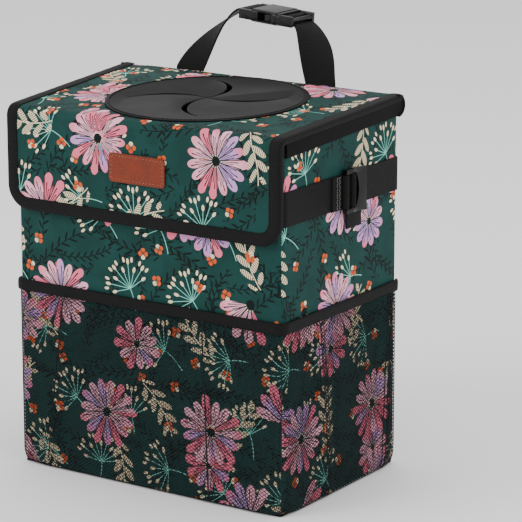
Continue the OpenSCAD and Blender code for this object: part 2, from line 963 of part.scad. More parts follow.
// Moulded rubber insert, cut into petals by the pinwheel's slits
module lid_insert() {
    color(rubber_color)
        in_lid()
            translate([0, insert_back, 0])
                difference() {
                    union() {
                        cylinder(r = insert_r, h = insert_t, $fn = 128);
                        translate([0, 0, insert_t - membrane_t])
                            cylinder(r = neck_r, h = membrane_t, $fn = 128);
                        translate([0, 0, -lid_t - inner_lip_t])
                            difference() {
                                cylinder(r = neck_r, h = lid_t + inner_lip_t + insert_t / 2, $fn = 128);
                                translate([0, 0, -1])
                                    cylinder(r = neck_r - neck_t, h = far, $fn = 128);
                            }
                        translate([0, 0, -lid_t - inner_lip_t])
                            difference() {
                                cylinder(r = hole_r + inner_lip_w, h = inner_lip_t, $fn = 128);
                                translate([0, 0, -1])
                                    cylinder(r = neck_r - neck_t, h = far, $fn = 128);
                            }
                        translate([0, 0, insert_t])
                            rotate_extrude($fn = 128)
                                translate([insert_r - 2 * bead_r - 1.4, 0]) circle(bead_r, $fn = 24);
                    }
                    for (k = [0:petals - 1])
                        rotate([0, 0, pinwheel_turn + k * 360 / petals])
                            linear_extrude(height = 3 * membrane_t, center = true) slit();
                }
}

// Draws along the lid's right edge: X outwards, Y along the edge from the fold
module at_right_edge() {
    translate([lid_half_w, fold_lid_y, 0]) children();
}

// The same along the left edge, which stands out further towards the back
module at_left_edge() {
    mirror([1, 0, 0])
        translate([lid_half_w, fold_lid_y, 0]) rotate([0, 0, -flare_angle]) children();
}

// Binding tape round an edge of the lid, drawn from the fold to the back wall
module edge_tape() {
    difference() {
        translate([-bind_w, -bind_w, -lid_t - bind_t])
            cube([bind_w + bind_t, lid_len + 3 * bind_w, lid_t + 2 * bind_t]);
        translate([-far, -far, -lid_t]) cube([far, 2 * far, lid_t]);
    }
}

// Room between the fold and the back of the lid
module lid_room() {
    translate([-far / 2, fold_lid_y, -far / 2]) cube([far, lid_len, far]);
}

module lid_binding_right() {
    color(binding_color)
        in_lid()
            intersection() {
                at_right_edge() edge_tape();
                lid_room();
            }
}

module lid_binding_left() {
    color(binding_color)
        in_lid()
            intersection() {
                at_left_edge() edge_tape();
                lid_room();
            }
}

// Skirt under an edge of the lid, outside the body's rim, rounded at its back end
module edge_skirt(length) {
    low = -lid_t - bind_t - skirt_h;
    start = 1;
    end = length + skirt_back;
    end_r = skirt_h / 2;
    translate([skirt_in + skirt_t / 2, 0, 0])
        along_x(skirt_t) {
            translate([start, low]) square([end - end_r - start, skirt_h]);
            translate([end - end_r, low + end_r]) circle(end_r);
            translate([end - end_r, low + end_r]) square(end_r);
        }
}

module lid_skirt_right() {
    color(lining_color) in_lid() at_right_edge() edge_skirt(lid_len);
}

module lid_skirt_left() {
    color(lining_color) in_lid() at_left_edge() edge_skirt(lid_len / cos(flare_angle));
}

// Bent section of the fold between lid and flap, drawn round its pivot line
module fold_section(out_r, in_r) {
    start = 90 + tilt;
    difference() {
        intersection() {
            circle(out_r);
            polygon([
                [0, 0],
                [far * cos(start), far * sin(start)],
                [far * cos(135), far * sin(135)],
                [-far, 0]
            ]);
        }
        circle(in_r);
    }
}

module at_fold() {
    translate([0, fold_y, fold_z]) children();
}

// Cloth and lining where the lid turns down into the flap
module flap_fold() {
    color(print_color)
        at_fold() along_x(2 * lid_half_w) fold_section(fold_r, fold_r - lid_t);
}

// Binding tape round both ends of the fold
module flap_fold_binding() {
    width = bind_w + bind_t;
    color(binding_color)
        at_fold()
            difference() {
                for (side = [-1, 1])
                    translate([side * (lid_half_w + bind_t - width / 2), 0, 0])
                        along_x(width) fold_section(fold_r + bind_t, fold_r - lid_t - bind_t);
                along_x(2 * lid_half_w)
                    difference() {
                        circle(fold_r);
                        circle(fold_r - lid_t);
                    }
            }
}

// Flap outline in width and height below the fold, drawn in by inset
module flap_outline(inset) {
    tall = 2 * flap_len;
    intersection() {
        translate([0, inset - flap_len + tall / 2])
            rounded_rect(2 * (lid_half_w - inset), tall, flap_corner_r - inset);
        translate([-far / 2, -far - fold_seam]) square(far);
    }
}

// One layer of the flap between two depths behind its outer face
module flap_layer(from_t, to_t) {
    translate([0, flap_out_y + to_t, fold_z])
        rotate([90, 0, 0]) linear_extrude(height = to_t - from_t) children();
}

module flap_cloth() {
    color(print_color) flap_layer(0, cloth_t) flap_outline(0);
}

module flap_board() {
    color(board_color) flap_layer(cloth_t, cloth_t + board_t) flap_outline(0);
}

module flap_lining() {
    color(lining_color) flap_layer(cloth_t + board_t, lid_t) flap_outline(0);
}

// Binding tape round the sides and the lower edge of the flap
module flap_binding() {
    color(binding_color)
        difference() {
            flap_layer(-bind_t, lid_t + bind_t)
                difference() {
                    flap_outline(-bind_t);
                    flap_outline(bind_w);
                }
            flap_layer(0, lid_t) flap_outline(0);
        }
}

module hook_tape() {
    color(binding_color)
        translate([-tape_w / 2, flap_out_y + lid_t, tape_z])
            cube([tape_w, tape_t, tape_h]);
}

// Plain leather patch with a stitching groove round its edge
module leather_patch() {
    groove_in = 1.8;
    groove_w = 0.8;
    patch_r = 3;
    middle = [-1.5, flap_out_y, flap_bottom_z + patch_up];
    color(leather_color)
        translate(middle)
            rotate([90, 0, 0])
                difference() {
                    linear_extrude(height = patch_t) rounded_rect(patch_w, patch_h, patch_r);
                    translate([0, 0, patch_t - 0.3])
                        linear_extrude(height = 1)
                            difference() {
                                rounded_rect(
                                    patch_w - 2 * groove_in,
                                    patch_h - 2 * groove_in,
                                    patch_r - groove_in
                                );
                                rounded_rect(
                                    patch_w - 2 * (groove_in + groove_w),
                                    patch_h - 2 * (groove_in + groove_w),
                                    patch_r - groove_in - groove_w
                                );
                            }
                }
}

base_panel();
front_panel();
back_panel();
left_panel();
right_panel();
base_board();
front_board();
back_board();
left_board();
right_board();
liner();
rim_binding();
loop_tape();
front_net();
left_net();
right_net();
front_net_band();
left_net_band();
right_net_band();
waist_belt();
belt_stub();
belt_turn();
belt_tail();
ladder_lock();
handle_strap_left();
handle_strap_right();
buckle_housing();
buckle_plug();
buckle_prongs();
lid_hinge_cloth();
lid_cloth();
lid_board();
lid_lining();
lid_insert();
lid_binding_left();
lid_binding_right();
lid_skirt_left();
lid_skirt_right();
flap_fold();
flap_fold_binding();
flap_cloth();
flap_board();
flap_lining();
flap_binding();
hook_tape();
leather_patch();
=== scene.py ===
"""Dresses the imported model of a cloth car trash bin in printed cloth, tapes, nets and webbing."""

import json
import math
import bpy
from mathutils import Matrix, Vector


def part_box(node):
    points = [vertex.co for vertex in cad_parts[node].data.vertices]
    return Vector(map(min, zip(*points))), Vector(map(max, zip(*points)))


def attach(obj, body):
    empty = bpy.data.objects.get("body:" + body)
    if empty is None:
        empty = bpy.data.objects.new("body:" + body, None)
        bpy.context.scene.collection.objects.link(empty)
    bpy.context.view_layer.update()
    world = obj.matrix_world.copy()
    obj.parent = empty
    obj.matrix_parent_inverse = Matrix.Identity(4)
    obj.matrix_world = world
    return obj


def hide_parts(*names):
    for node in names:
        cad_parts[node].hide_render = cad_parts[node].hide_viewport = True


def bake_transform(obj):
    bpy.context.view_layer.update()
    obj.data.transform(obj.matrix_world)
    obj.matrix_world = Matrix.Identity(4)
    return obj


bl_info = {
    "name": "Car Trash Bin",
    "version": (1, 0, 0),
    "blender": (4, 5, 0),
    "location": "3D View > Sidebar > Trash Bin",
    "description": "Sews the cloth, nets, tapes and fittings of a car trash bin over its packed model",
    "category": "Object",
}

import bmesh
import bpy
from bpy.props import FloatProperty, FloatVectorProperty, IntProperty, PointerProperty
from mathutils import Matrix, Vector, noise

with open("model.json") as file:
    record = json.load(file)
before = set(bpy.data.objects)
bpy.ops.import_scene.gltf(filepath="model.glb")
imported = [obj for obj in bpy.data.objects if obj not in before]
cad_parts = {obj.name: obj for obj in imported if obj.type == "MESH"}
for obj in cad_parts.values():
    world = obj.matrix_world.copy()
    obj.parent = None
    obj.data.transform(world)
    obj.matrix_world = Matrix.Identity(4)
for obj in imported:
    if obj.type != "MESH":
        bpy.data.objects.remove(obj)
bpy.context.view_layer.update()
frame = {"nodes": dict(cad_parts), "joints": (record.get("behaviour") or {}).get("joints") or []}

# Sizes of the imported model, in metres
MM = 0.001
JOINTS = {joint["name"]: joint for joint in frame["joints"]}
HINGE = Vector(JOINTS["lid_hinge"]["pos_m"])
FOLD = Vector(JOINTS["flap_hinge"]["pos_m"])
BODY_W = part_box("right_panel")[1].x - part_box("left_panel")[0].x
BODY_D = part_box("back_panel")[1].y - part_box("front_panel")[0].y
CORNER_R = 5 * MM
TILT = math.atan2(7, 158)
LID_MID_Z = HINGE.z - HINGE.y * math.tan(TILT)
LID_BACK = BODY_D / 2
LID_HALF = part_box("lid_cloth")[1].x
LID_LEFT = -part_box("lid_cloth")[0].x
FLAP_FACE_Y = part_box("flap_cloth")[0].y
FLAP_LOW_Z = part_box("flap_cloth")[0].z
FLAP_CORNER_R = 18 * MM
FOLD_R = FOLD.y - FLAP_FACE_Y
LID_LEN = LID_BACK - (FOLD.y * math.cos(TILT) + (FOLD.z - LID_MID_Z) * math.sin(TILT))
FOLD_LEN = FOLD_R * (math.pi / 2 - TILT)
SHEET_LEN = LID_LEN + FOLD_LEN + FOLD.z - FLAP_LOW_Z
INSERT_BACK = 0.5 * MM
INSERT_RING = (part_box("lid_insert")[1].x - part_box("lid_insert")[0].x) / 2 - 3.2 * MM
POCKET_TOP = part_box("front_net_band")[1].z
BAND_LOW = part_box("front_net_band")[0].z
WEB_T = 1.4 * MM
WEB_W = 25.4 * MM
BELT_Z = (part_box("waist_belt")[0].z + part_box("waist_belt")[1].z) / 2

# Sizes that only the sewn shapes have
WALL_LOW = 1.2 * MM
WALL_BELOW_LID = 7.2 * MM
INSERT_HOLE = 73 * MM
NET_LOW = 1.1 * MM
NET_OUT = 0.45 * MM
NET_BELOW_BAND = 1.5 * MM
# Soft lower corners: how far they are drawn in, and how far that reaches along the walls and up them
DRAWN_DEPTH = 2.2 * MM
DRAWN_ALONG = 26 * MM
DRAWN_UP = 12 * MM
# Distances over which the cloths' ripples rise from nothing at what holds them
FROM_SEAM = 14 * MM
FROM_BASE = 20 * MM
FROM_BINDING = 18 * MM
FROM_FOLD = 14 * MM
FROM_NET_END = 16 * MM
# Groove of the walls' seams
SEAM_DEPTH = 0.45 * MM
SEAM_WIDTH = 0.7 * MM


def tint(code):
    """The linear colour of a screen colour such as 1f5450."""
    parts = [int(code[i : i + 2], 16) / 255 for i in (0, 2, 4)]
    return tuple(p / 12.92 if p <= 0.04045 else ((p + 0.055) / 1.055) ** 2.4 for p in parts)


def length_field(name, text, value, low, high):
    """A length that can be set, given in millimetres."""
    value, low, high = value * MM, low * MM, high * MM
    return FloatProperty(name=name, description=text, default=value, min=low, max=high, unit="LENGTH")


def number_field(name, text, value, low, high):
    return FloatProperty(name=name, description=text, default=value, min=low, max=high)


def colour_field(name, text, code):
    colour = tint(code)
    return FloatVectorProperty(
        name=name, description=text, default=colour, min=0, max=1, size=3, subtype="COLOR"
    )


class TrashBinSewing(bpy.types.PropertyGroup):
    """Sizes of the cloth, nets, tapes and webbing"""

    net_mesh_w: length_field("Net mesh width", "Width of one diamond of the pocket nets", 4.3, 2, 12)
    net_mesh_h: length_field("Net mesh height", "Height of one diamond of the pocket nets", 2.8, 1.5, 12)
    net_cord: length_field("Net cord", "Thickness of the nets' cords", 0.7, 0.2, 2)
    net_fullness: number_field("Net fullness", "Length of net sewn to each length of wall", 1.12, 1, 1.5)
    wall_ripple: length_field("Wall ripple", "Height of the soft ripples in the walls", 0.5, 0, 3)
    tape_soft: length_field("Tape edge", "Rounding of the tapes' edges", 0.3, 0.05, 0.6)
    mould_soft: length_field("Moulded edge", "Rounding of the moulded parts' edges", 0.35, 0.05, 0.8)
    stitch_pitch: length_field("Stitch pitch", "From one patch stitch to the next", 3.1, 1.5, 8)
    web_stations: IntProperty(
        name="Webbing stations", description="Sections along each leg", default=40, min=10, max=120
    )


class TrashBinColours(bpy.types.PropertyGroup):
    """Colours of the print and of the fittings"""

    ground: colour_field("Ground", "Ground of the printed cloth", "143c38")
    ink: colour_field("Ink", "Twigs and drawn lines of the print", "081615")
    rose: colour_field("Rose", "Strongest petals of the print", "e8748c")
    blush: colour_field("Blush", "Pale pink petals of the print", "f0b2c4")
    lilac: colour_field("Lilac", "Lilac petals of the print", "c299cf")
    cream: colour_field("Cream", "Leaves and buds of the print", "ead6b4")
    amber: colour_field("Orange", "Orange petals of the print", "d4592c")
    mint: colour_field("Mint", "Fine stems of the print", "83cfbf")
    tape: colour_field("Tape", "Binding tape and webbing", "0d0c0c")
    net: colour_field("Net", "Pocket nets", "26292b")
    lining: colour_field("Lining", "Lining of the lid and flap", "1c1c1e")
    liner: colour_field("Liner", "Waterproof liner", "8b8e90")
    board: colour_field("Board", "Stiffening boards", "c9c5ba")
    rubber: colour_field("Rubber", "Insert in the lid", "0f0f10")
    plastic: colour_field("Plastic", "Buckle and ladder lock", "080809")
    leather: colour_field("Leather", "Patch on the flap", "70290f")
    thread: colour_field("Thread", "Stitches round the patch", "f6e0c6")
    seam: colour_field("Seam", "Stitches of the belt", "77756f")


class TrashBinStudio(bpy.types.PropertyGroup):
    """Camera, light and floor"""

    floor: colour_field("Floor", "Pale floor under the bin", "fbfbfb")
    key_power: number_field("Key light", "Watts of the large light at the front left", 34, 0, 500)
    fill_power: number_field("Fill light", "Watts of the light at the right", 16, 0, 500)
    top_power: number_field("Top light", "Watts of the light above", 16, 0, 500)
    sky: number_field("Sky", "Strength of the even light from all round", 0.98, 0, 5)
    camera_at: FloatVectorProperty(
        name="Camera", description="Place of the camera", default=(1.103037, -1.564659, 0.636852), size=3
    )
    camera_turn: number_field("Turn", "Turn of the camera leftwards, in radians", 0.59295, -math.pi, math.pi)
    camera_dip: number_field("Dip", "Dip of the camera below level, in radians", 0.24466, -1.5, 1.5)
    lens: number_field("Lens", "Focal length of the camera, in millimetres", 179.42, 20, 500)


# Shader maths


def maths(operation, swapped=False):
    """A method that puts a value, then any others, through one maths node; swapped, the value is last."""

    def apply(self, *others):
        values = (*others, self) if swapped else (self, *others)
        return self.node("Math", values, operation=operation)

    return apply


class Ink:
    """One value, vector or colour on its way through a finish's nodes."""

    def __init__(self, tree, socket=None):
        self.tree = tree
        self.socket = socket

    def node(self, kind, values=(), out=0, stops=None, **settings):
        """Adds a node, sets it up, then gives its sockets values or links."""
        made = self.tree.nodes.new("ShaderNode" + kind)
        for key, value in settings.items():
            setattr(made, key, value)
        if stops:
            ramp = made.color_ramp.elements
            while len(ramp) < len(stops):
                ramp.new(0.5)
            for element, (place, colour) in zip(ramp, stops):
                element.position = place
                element.color = (*colour, 1)
        pairs = values.items() if isinstance(values, dict) else enumerate(values)
        for key, value in pairs:
            if isinstance(value, Ink):
                self.tree.links.new(value.socket, made.inputs[key])
            else:
                made.inputs[key].default_value = value
        return Ink(self.tree, made.outputs[out])

    __add__ = maths("ADD")
    __radd__ = maths("ADD")
    __sub__ = maths("SUBTRACT")
    __rsub__ = maths("SUBTRACT", swapped=True)
    __mul__ = maths("MULTIPLY")
    __rmul__ = maths("MULTIPLY")
    __truediv__ = maths("DIVIDE")
    __lt__ = maths("LESS_THAN")
    __gt__ = maths("GREATER_THAN")
    __abs__ = maths("ABSOLUTE")
    floor = maths("FLOOR")
    part = maths("FRACT")
    sine = maths("SINE")
    cosine = maths("COSINE")
    most = maths("MAXIMUM")
    root = maths("SQRT")
    angle = maths("ARCTAN2")

    def squared(self):
        return self * self

    def over(self, below, above):
        """Colour above where this mask is 1, and colour below where it is 0."""
        values = {0: self, 6: opaque(below), 7: opaque(above)}
        return self.node("Mix", values, out=2, data_type="RGBA")

    def tones(self, colour, dark, light):
        """A colour times dark where this value is 0, and times light where it is 1."""
        return self.over(shade(colour, dark), shade(colour, light))

    def split(self):
        return [self.node("SeparateXYZ", [self], out=i) for i in range(3)]

    def in_mm(self):
        """X, Y and Z of this place in millimetres."""
        return self.node("VectorMath", {0: self, "Scale": 1000.0}, operation="SCALE").split()

    def soft(self, start, end, low=0.0, high=1.0):
        """Smooth change from low at start to high at end."""
        return self.node("MapRange", [self, start, end, low, high], interpolation_type="SMOOTHSTEP")

    def cloud(self, scale, detail=2.0):
        """Soft noise at this place, from 0 to 1."""
        return self.node("TexNoise", {"Vector": self, "Scale": scale, "Detail": detail})


def opaque(colour):
    """A colour as four numbers. What the nodes made stays as it is."""
    return colour if isinstance(colour, Ink) else (*colour[:3], 1)


def shade(colour, amount):
    return (colour[0] * amount, colour[1] * amount, colour[2] * amount, 1)


def finish(name, kind="TexCoord", out=3):
    """Makes a material. Returns the place that its nodes start from, in space or on the flat pattern."""
    made = bpy.data.materials.new(name)
    made.use_nodes = True
    return Ink(made.node_tree).node(kind, out=out)


def dress(place, colour, rough, height=None, depth=0.1, strength=1.0, gloss=0.5):
    """Gives a material's shader its colour, roughness and gloss, and a bump of a depth in millimetres."""
    tree = place.tree
    shader = tree.nodes["Principled BSDF"]
    shader.inputs["Specular IOR Level"].default_value = gloss
    tree.links.new(colour.socket, shader.inputs["Base Color"])
    if isinstance(rough, Ink):
        tree.links.new(rough.socket, shader.inputs["Roughness"])
    else:
        shader.inputs["Roughness"].default_value = rough
    if height is not None:
        bump = place.node("Bump", {"Height": height, "Distance": depth * MM, "Strength": strength})
        tree.links.new(bump.socket, shader.inputs["Normal"])


# The print: motifs are scattered over staggered cells of the cloth's own flat pattern, in millimetres


def scatter(x, y, cell, shift, seed, spread, lean=1.0):
    """Place and turn of the nearest motif: its own x and y, and two random numbers."""
    across = x / cell + shift[0]
    up = y / (cell * 0.866) + shift[1]
    row = up.floor()
    across = across + row * 0.5
    column = across.floor()
    spot = x.node("CombineXYZ", [column, row, seed])
    chance = x.node("TexWhiteNoise", {"Vector": spot}, out=1, noise_dimensions="3D")
    first, second, third = [chance.node("SeparateColor", [chance], out=i) for i in range(3)]
    near_x = (across - column - 0.5) * cell - (first - 0.5) * (spread * cell)
    near_y = (up - row - 0.5) * (cell * 0.866) - (second - 0.5) * (spread * cell)
    angle = third * (2 * math.pi * lean)
    cos = angle.cosine()
    sin = angle.sine()
    return near_x * cos + near_y * sin, near_y * cos - near_x * sin, first, second


def polar(x, y, count):
    """Distance from the middle, number of the petal, and place across it from -0.5 to 0.5."""
    square = x.squared() + y.squared()
    far = square.root()
    turn = y.angle(x) * (count / (2 * math.pi)) + count
    petal = turn.floor()
    return far, petal, turn - petal - 0.5


def blossom(x, y, radius, count, chance, colours, least):
    """Open flower of streaked petals round a dark middle; least above 0 leaves a fan seen from its side."""
    far, petal, across = polar(x, y, count)
    spot = x.node("CombineXYZ", [petal, chance * 37, 3])
    luck = x.node("TexWhiteNoise", {"Vector": spot}, noise_dimensions="3D")
    out = far / (luck * (radius * 0.16) + radius * 0.84)
    mask = ((out - 0.56) / 0.44).squared() + (across / 0.47).squared() < 1
    blush, lilac, rose = colours.blush[:], colours.lilac[:], colours.rose[:]
    colour = x.node("ValToRGB", [luck], stops=[(0.0, blush), (0.28, lilac), (0.5, blush), (0.74, rose)])
    colour.socket.node.color_ramp.interpolation = "CONSTANT"
    tip = out.soft(0.55, 1.0) * (luck * 9).part()
    colour = tip.over(colour, rose)
    lines = across * 4 + 2
    reach = (lines.floor() * 0.37 + luck).part() * 0.42 + 0.5
    streak = (abs(lines.part() - 0.5) < 0.2) * (out < reach)
    colour = streak.over(colour, colours.ink)
    middle = out < 0.13
    colour = middle.over(colour, colours.ink)
    seeds = (abs(out - 0.16) < 0.022) * (abs(lines.part() - 0.5) < 0.3)
    colour = seeds.over(colour, colours.cream)
    return (mask * (y > far * least)).most(middle), colour


def spray(x, y, length, pitch, leaf, width, lean, curve):
    """Stem with leaves on both sides. Returns the masks of leaves and stem, and the place along a leaf."""
    bent = y + x.squared() * curve
    side = abs(bent)
    other = (bent > 0) * 0.5
    step = x / pitch + other
    start = (step - step.floor()) * pitch
    size = 1 - (x / (length / 2)).squared() * 0.45
    cos = math.cos(lean)
    sin = math.sin(lean)
    down = start * cos + side * sin - leaf * 0.52
    across = side * cos - start * sin
    inside = abs(x) < length / 2
    leaves = ((down / (size * (leaf / 2))).squared() + (across / (size * (width / 2))).squared() < 1) * inside
    stem = (side < 0.38) * inside
    return leaves, stem, down


def umbel(x, y, radius, count):
    """Fan of fine stems that end in two rings of seeds. Returns the seeds' mask and the stems' mask."""
    far, petal, across = polar(x, y, count)
    upper = y > far * 0.05
    width = far * (2 * math.pi / count)
    reach = (petal * 0.5).part() * (radius * 0.5) + radius * 0.68
    stems = (abs(across) * width < 0.26) * (far < reach) * upper
    seeds = (((far - reach) / 2.3).squared() + (across * width / 1.25).squared() < 1) * upper
    outer = (((far - radius) / 2.1).squared() + ((0.5 - abs(across)) * width / 1.1).squared() < 1) * upper
    foot = (abs(x + y.squared() * 0.012) < 0.34) * (y < 0) * (y > -radius * 0.9)
    return seeds.most(outer), stems.most(foot)


def floret(x, y, radius, colours):
    """Small flower of four round petals, one of them orange. Returns its mask and colour."""
    far, petal, across = polar(x, y, 4)
    mask = ((far / radius - 0.55) / 0.45).squared() + (across / 0.44).squared() < 1
    colour = (petal < 4.5).over(colours.cream, colours.amber)
    vein = (abs((across * 5 + 2.5).part() - 0.5) < 0.12) * (far < radius * 0.5)
    return mask, vein.over(colour, colours.ink)


# Twigs of the print: cell, shift and seed of the scatter, length, leaf's length and width, curve
TWIGS = (
    (44, (0.1, 0.3), 11.0, 64, 7.0, 1.7, 0.009),
    (52, (0.6, 0.7), 12.0, 76, 6.0, 1.5, -0.007),
    (61, (0.3, 0.1), 13.0, 88, 8.0, 1.8, 0.005),
)
# Florets of the print: cell, shift and seed of the scatter, radius
FLORETS = ((31, (0.2, 0.6), 41.0, 4.4), (39, (0.7, 0.1), 42.0, 4.0))
# Flowers of the print: cell, shift and seed of the scatter, radius, petals, share left out, and least
# upward slope of the petals shown, which is -1 for a whole flower
FLOWERS = (
    (104, (0.05, 0.3), 52.0, 22, 11, 0.5, -1.0),
    (90, (0.55, 0.6), 53.0, 31, 14, 0.3, 0.434),
    (98, (0.4, 0.85), 51.0, 29, 15, 0.4, -1.0),
)


def printed_cloth(colours):
    """Polyester cloth with a scattered floral print and a fine plain weave."""
    flat = finish("printed cloth", "UVMap", 0)
    x, y, _ = flat.in_mm()
    cloth = flat.cloud(45, 3).soft(0.3, 0.7).tones(colours.ground, 0.82, 1.12)

    for cell, shift, seed, length, leaf, width, curve in TWIGS:
        tx, ty, _, _ = scatter(x, y, cell, shift, seed, 0.1)
        leaves, stem, _ = spray(tx, ty, length, leaf * 1.05, leaf, width, 0.72, curve)
        cloth = leaves.most(stem).over(cloth, colours.ink)

    tx, ty, first, _ = scatter(x, y, 55, (0.35, 0.15), 21.0, 0.16, 0.3)
    seeds, stems = umbel(tx, ty + 8, 22, 18)
    shown = first > 0.3
    cloth = (stems * shown).over(cloth, colours.mint)
    cloth = (seeds * shown).over(cloth, colours.cream)

    tx, ty, _, second = scatter(x, y, 70, (0.8, 0.45), 31.0, 0.2)
    leaves, stem, down = spray(tx, ty, 46, 10.5, 13.5, 5.2, 0.7, 0.008)
    shown = second > 0.45
    hatch = (down * 0.42 + abs(ty) * 0.25).part() < 0.34
    cloth = (stem * shown).over(cloth, colours.cream)
    cloth = (leaves * shown).over(cloth, hatch.over(colours.cream, colours.ink))

    for cell, shift, seed, radius in FLORETS:
        tx, ty, first, _ = scatter(x, y, cell, shift, seed, 0.5)
        mask, colour = floret(tx, ty, radius, colours)
        cloth = (mask * (first > 0.45)).over(cloth, colour)

    for cell, shift, seed, radius, count, rare, least in FLOWERS:
        tx, ty, first, second = scatter(x, y, cell, shift, seed, 0.22)
        mask, colour = blossom(tx, ty, radius, count, first, colours, least)
        cloth = (mask * (second > rare)).over(cloth, colour)

    rough = flat.cloud(900, 1).soft(0.2, 0.8, 0.62, 0.78)
    weave = (x * 9).sine() * (y * 9).sine() * 0.2 + flat.cloud(60, 3)
    dress(flat, cloth, rough, weave, 0.25, 0.35, 0.14)


def ribbed_tape(name, colour, along, across, depth):
    """Woven tape or webbing on its own flat pattern: ribs along it and picks across it, with painted
    highlights on their tops and painted shade between them.
    """
    flat = finish(name, "UVMap", 0)
    x, y, _ = flat.in_mm()
    offset = ((y * across).floor() * 0.5).part() * 0.5
    picks = ((x * along + offset) * (2 * math.pi)).sine()
    ribs = abs((y * (across * math.pi)).sine())
    woven = picks * 0.5 * ribs + ribs * 0.6
    fibres = flat.cloud(2600, 2)
    # Painted light: raised ribs and picks are painted lighter as painted highlights and grooves darker as
    # painted shade; the fibres add flecks of their own tone
    light = (woven * 0.5 + fibres * 0.6).soft(0.2, 1.1)
    tone = light.tones(colour, 0.55, 2.0)
    dress(flat, tone, 0.62, woven + fibres * 0.3, depth, 0.9, 0.14)


def wave_threads(place, scale, distortion, direction):
    settings = {"Vector": place, "Scale": scale, "Distortion": distortion}
    return place.node("TexWave", settings, out=1, bands_direction=direction)


def plain_cloth(name, colour):
    """Smooth dark cloth with a fine weave, on its place in space."""
    place = finish(name)
    threads = wave_threads(place, 420.0, 0.6, "Z")
    grain = place.cloud(700, 3)
    tone = grain.soft(0.25, 0.8).tones(colour, 0.75, 1.35)
    dress(place, tone, 0.75, threads * 0.4 + grain, 0.15, 0.6, 0.12)


def net_cord(colour):
    place = finish("net cord")
    fibre = place.cloud(1500, 2)
    tone = fibre.soft(0.3, 0.8).tones(colour, 0.7, 1.6)
    dress(place, tone, 0.58, fibre, 0.1, 0.5, 0.14)


def rubber(colour):
    """Satin moulded rubber with a fine matt grain, faint handling marks and a pressed ring, painted dark in
    its groove as painted shade.
    """
    place = finish("satin rubber")
    grain = place.cloud(1400, 3)
    marks = place.cloud(22, 4)
    tone = marks.soft(0.3, 0.75).tones(colour, 0.9, 1.1)
    x, y, _ = place.split()
    square = x.squared() + ((y - INSERT_BACK) / math.cos(TILT)).squared()
    ring = (abs(square.root() - INSERT_RING) / MM).soft(0.1, 0.75, 1.0, 0.0)
    rough = (marks * 0.6 + grain * 0.4).soft(0.3, 0.7, 0.5, 0.62)
    # The pressed ring is also painted dark: painted shade in its groove
    dress(place, ring.over(tone, shade(colour, 0.2)), rough, grain * 0.1 - ring, 0.5, 0.8, 0.13)


def moulded(colour):
    """Black moulded plastic with a fine spark-eroded grain."""
    place = finish("moulded plastic")
    grain = place.cloud(2200, 2)
    tone = place.cloud(70, 3).soft(0.35, 0.75).tones(colour, 0.85, 1.25)
    dress(place, tone, grain.soft(0.25, 0.75, 0.3, 0.4), grain, 0.04, 0.6, 0.32)


def leather(colour):
    """Tan leather with a pebbled grain and soft blotches."""
    place = finish("tan leather")
    pebble = place.node("TexVoronoi", {"Vector": place, "Scale": 900.0}, feature="SMOOTH_F1")
    blotch = place.cloud(95, 4)
    tone = (blotch * 0.7 + pebble * 0.5).soft(0.2, 0.9).tones(colour, 0.72, 1.3)
    dress(place, tone, blotch.soft(0.3, 0.7, 0.48, 0.62), pebble + blotch * 0.8, 0.18, 0.6, 0.3)


def film(colour):
    """Waterproof film with soft creases, painted darker in their hollows as painted shade, and a low sheen.
    """
    place = finish("waterproof film")
    settings = {"Vector": place, "Scale": 26.0, "Detail": 3.0, "Distortion": 1.4}
    crease = place.node("TexNoise", settings)
    # Painted shade: the film is painted darker where its creases dip
    tone = crease.soft(0.3, 0.75).tones(colour, 0.85, 1.08)
    dress(place, tone, crease.soft(0.3, 0.7, 0.38, 0.5), crease, 1.2, 0.7)


def pressed_board(colour):
    place = finish("pressed board")
    grain = place.cloud(320, 4)
    tone = grain.soft(0.3, 0.7).tones(colour, 0.85, 1.05)
    dress(place, tone, 0.85, grain, 0.1, 0.6)


def fuzzy_tape(colour):
    """Hook and loop tape: a dense bed of small loops, with painted highlights on their tops and painted shade
    between them.
    """
    place = finish("hook and loop tape")
    loops = place.node("TexVoronoi", {"Vector": place, "Scale": 1100.0})
    # Painted highlights on the loops' tops and painted shade in the gaps between them
    tone = loops.soft(0.0, 0.7).tones(colour, 2.0, 0.5)
    dress(place, tone, 0.9, 1 - loops, 0.4, 1.0)


def sewing_thread(name, colour):
    place = finish(name)
    ply = wave_threads(place, 900.0, 1.0, "DIAGONAL")
    # The plies are painted lighter on their tops as painted highlights and darker between them as painted
    # shade
    dress(place, ply.tones(colour, 0.7, 1.15), 0.6, ply, 0.1, 0.6)


def pale_floor(colour):
    place = finish("pale floor")
    dress(place, place.cloud(3, 2).over(shade(colour, 0.985), colour), 0.85)


def material(name):
    """The finish of that name, made the first time that it is asked for."""
    if name not in bpy.data.materials:
        colours = bpy.context.scene.trash_bin_colours
        makers = {
            "printed cloth": lambda: printed_cloth(colours),
            "binding tape": lambda: ribbed_tape(name, colours.tape, 0.55, 0.62, 0.28),
            "woven webbing": lambda: ribbed_tape(name, colours.tape, 0.8, 0.7, 0.3),
            "elastic band": lambda: ribbed_tape(name, colours.tape, 0.9, 0.5, 0.3),
            "black cloth": lambda: plain_cloth(name, colours.tape),
            "lining cloth": lambda: plain_cloth(name, colours.lining),
            "net cord": lambda: net_cord(colours.net),
            "satin rubber": lambda: rubber(colours.rubber),
            "moulded plastic": lambda: moulded(colours.plastic),
            "tan leather": lambda: leather(colours.leather),
            "waterproof film": lambda: film(colours.liner),
            "pressed board": lambda: pressed_board(colours.board),
            "hook and loop tape": lambda: fuzzy_tape(colours.tape),
            "patch thread": lambda: sewing_thread(name, colours.thread),
            "seam thread": lambda: sewing_thread(name, colours.seam),
            "pale floor": lambda: pale_floor(bpy.context.scene.trash_bin_studio.floor),
        }
        makers[name]()
    return bpy.data.materials[name]


# Shapes


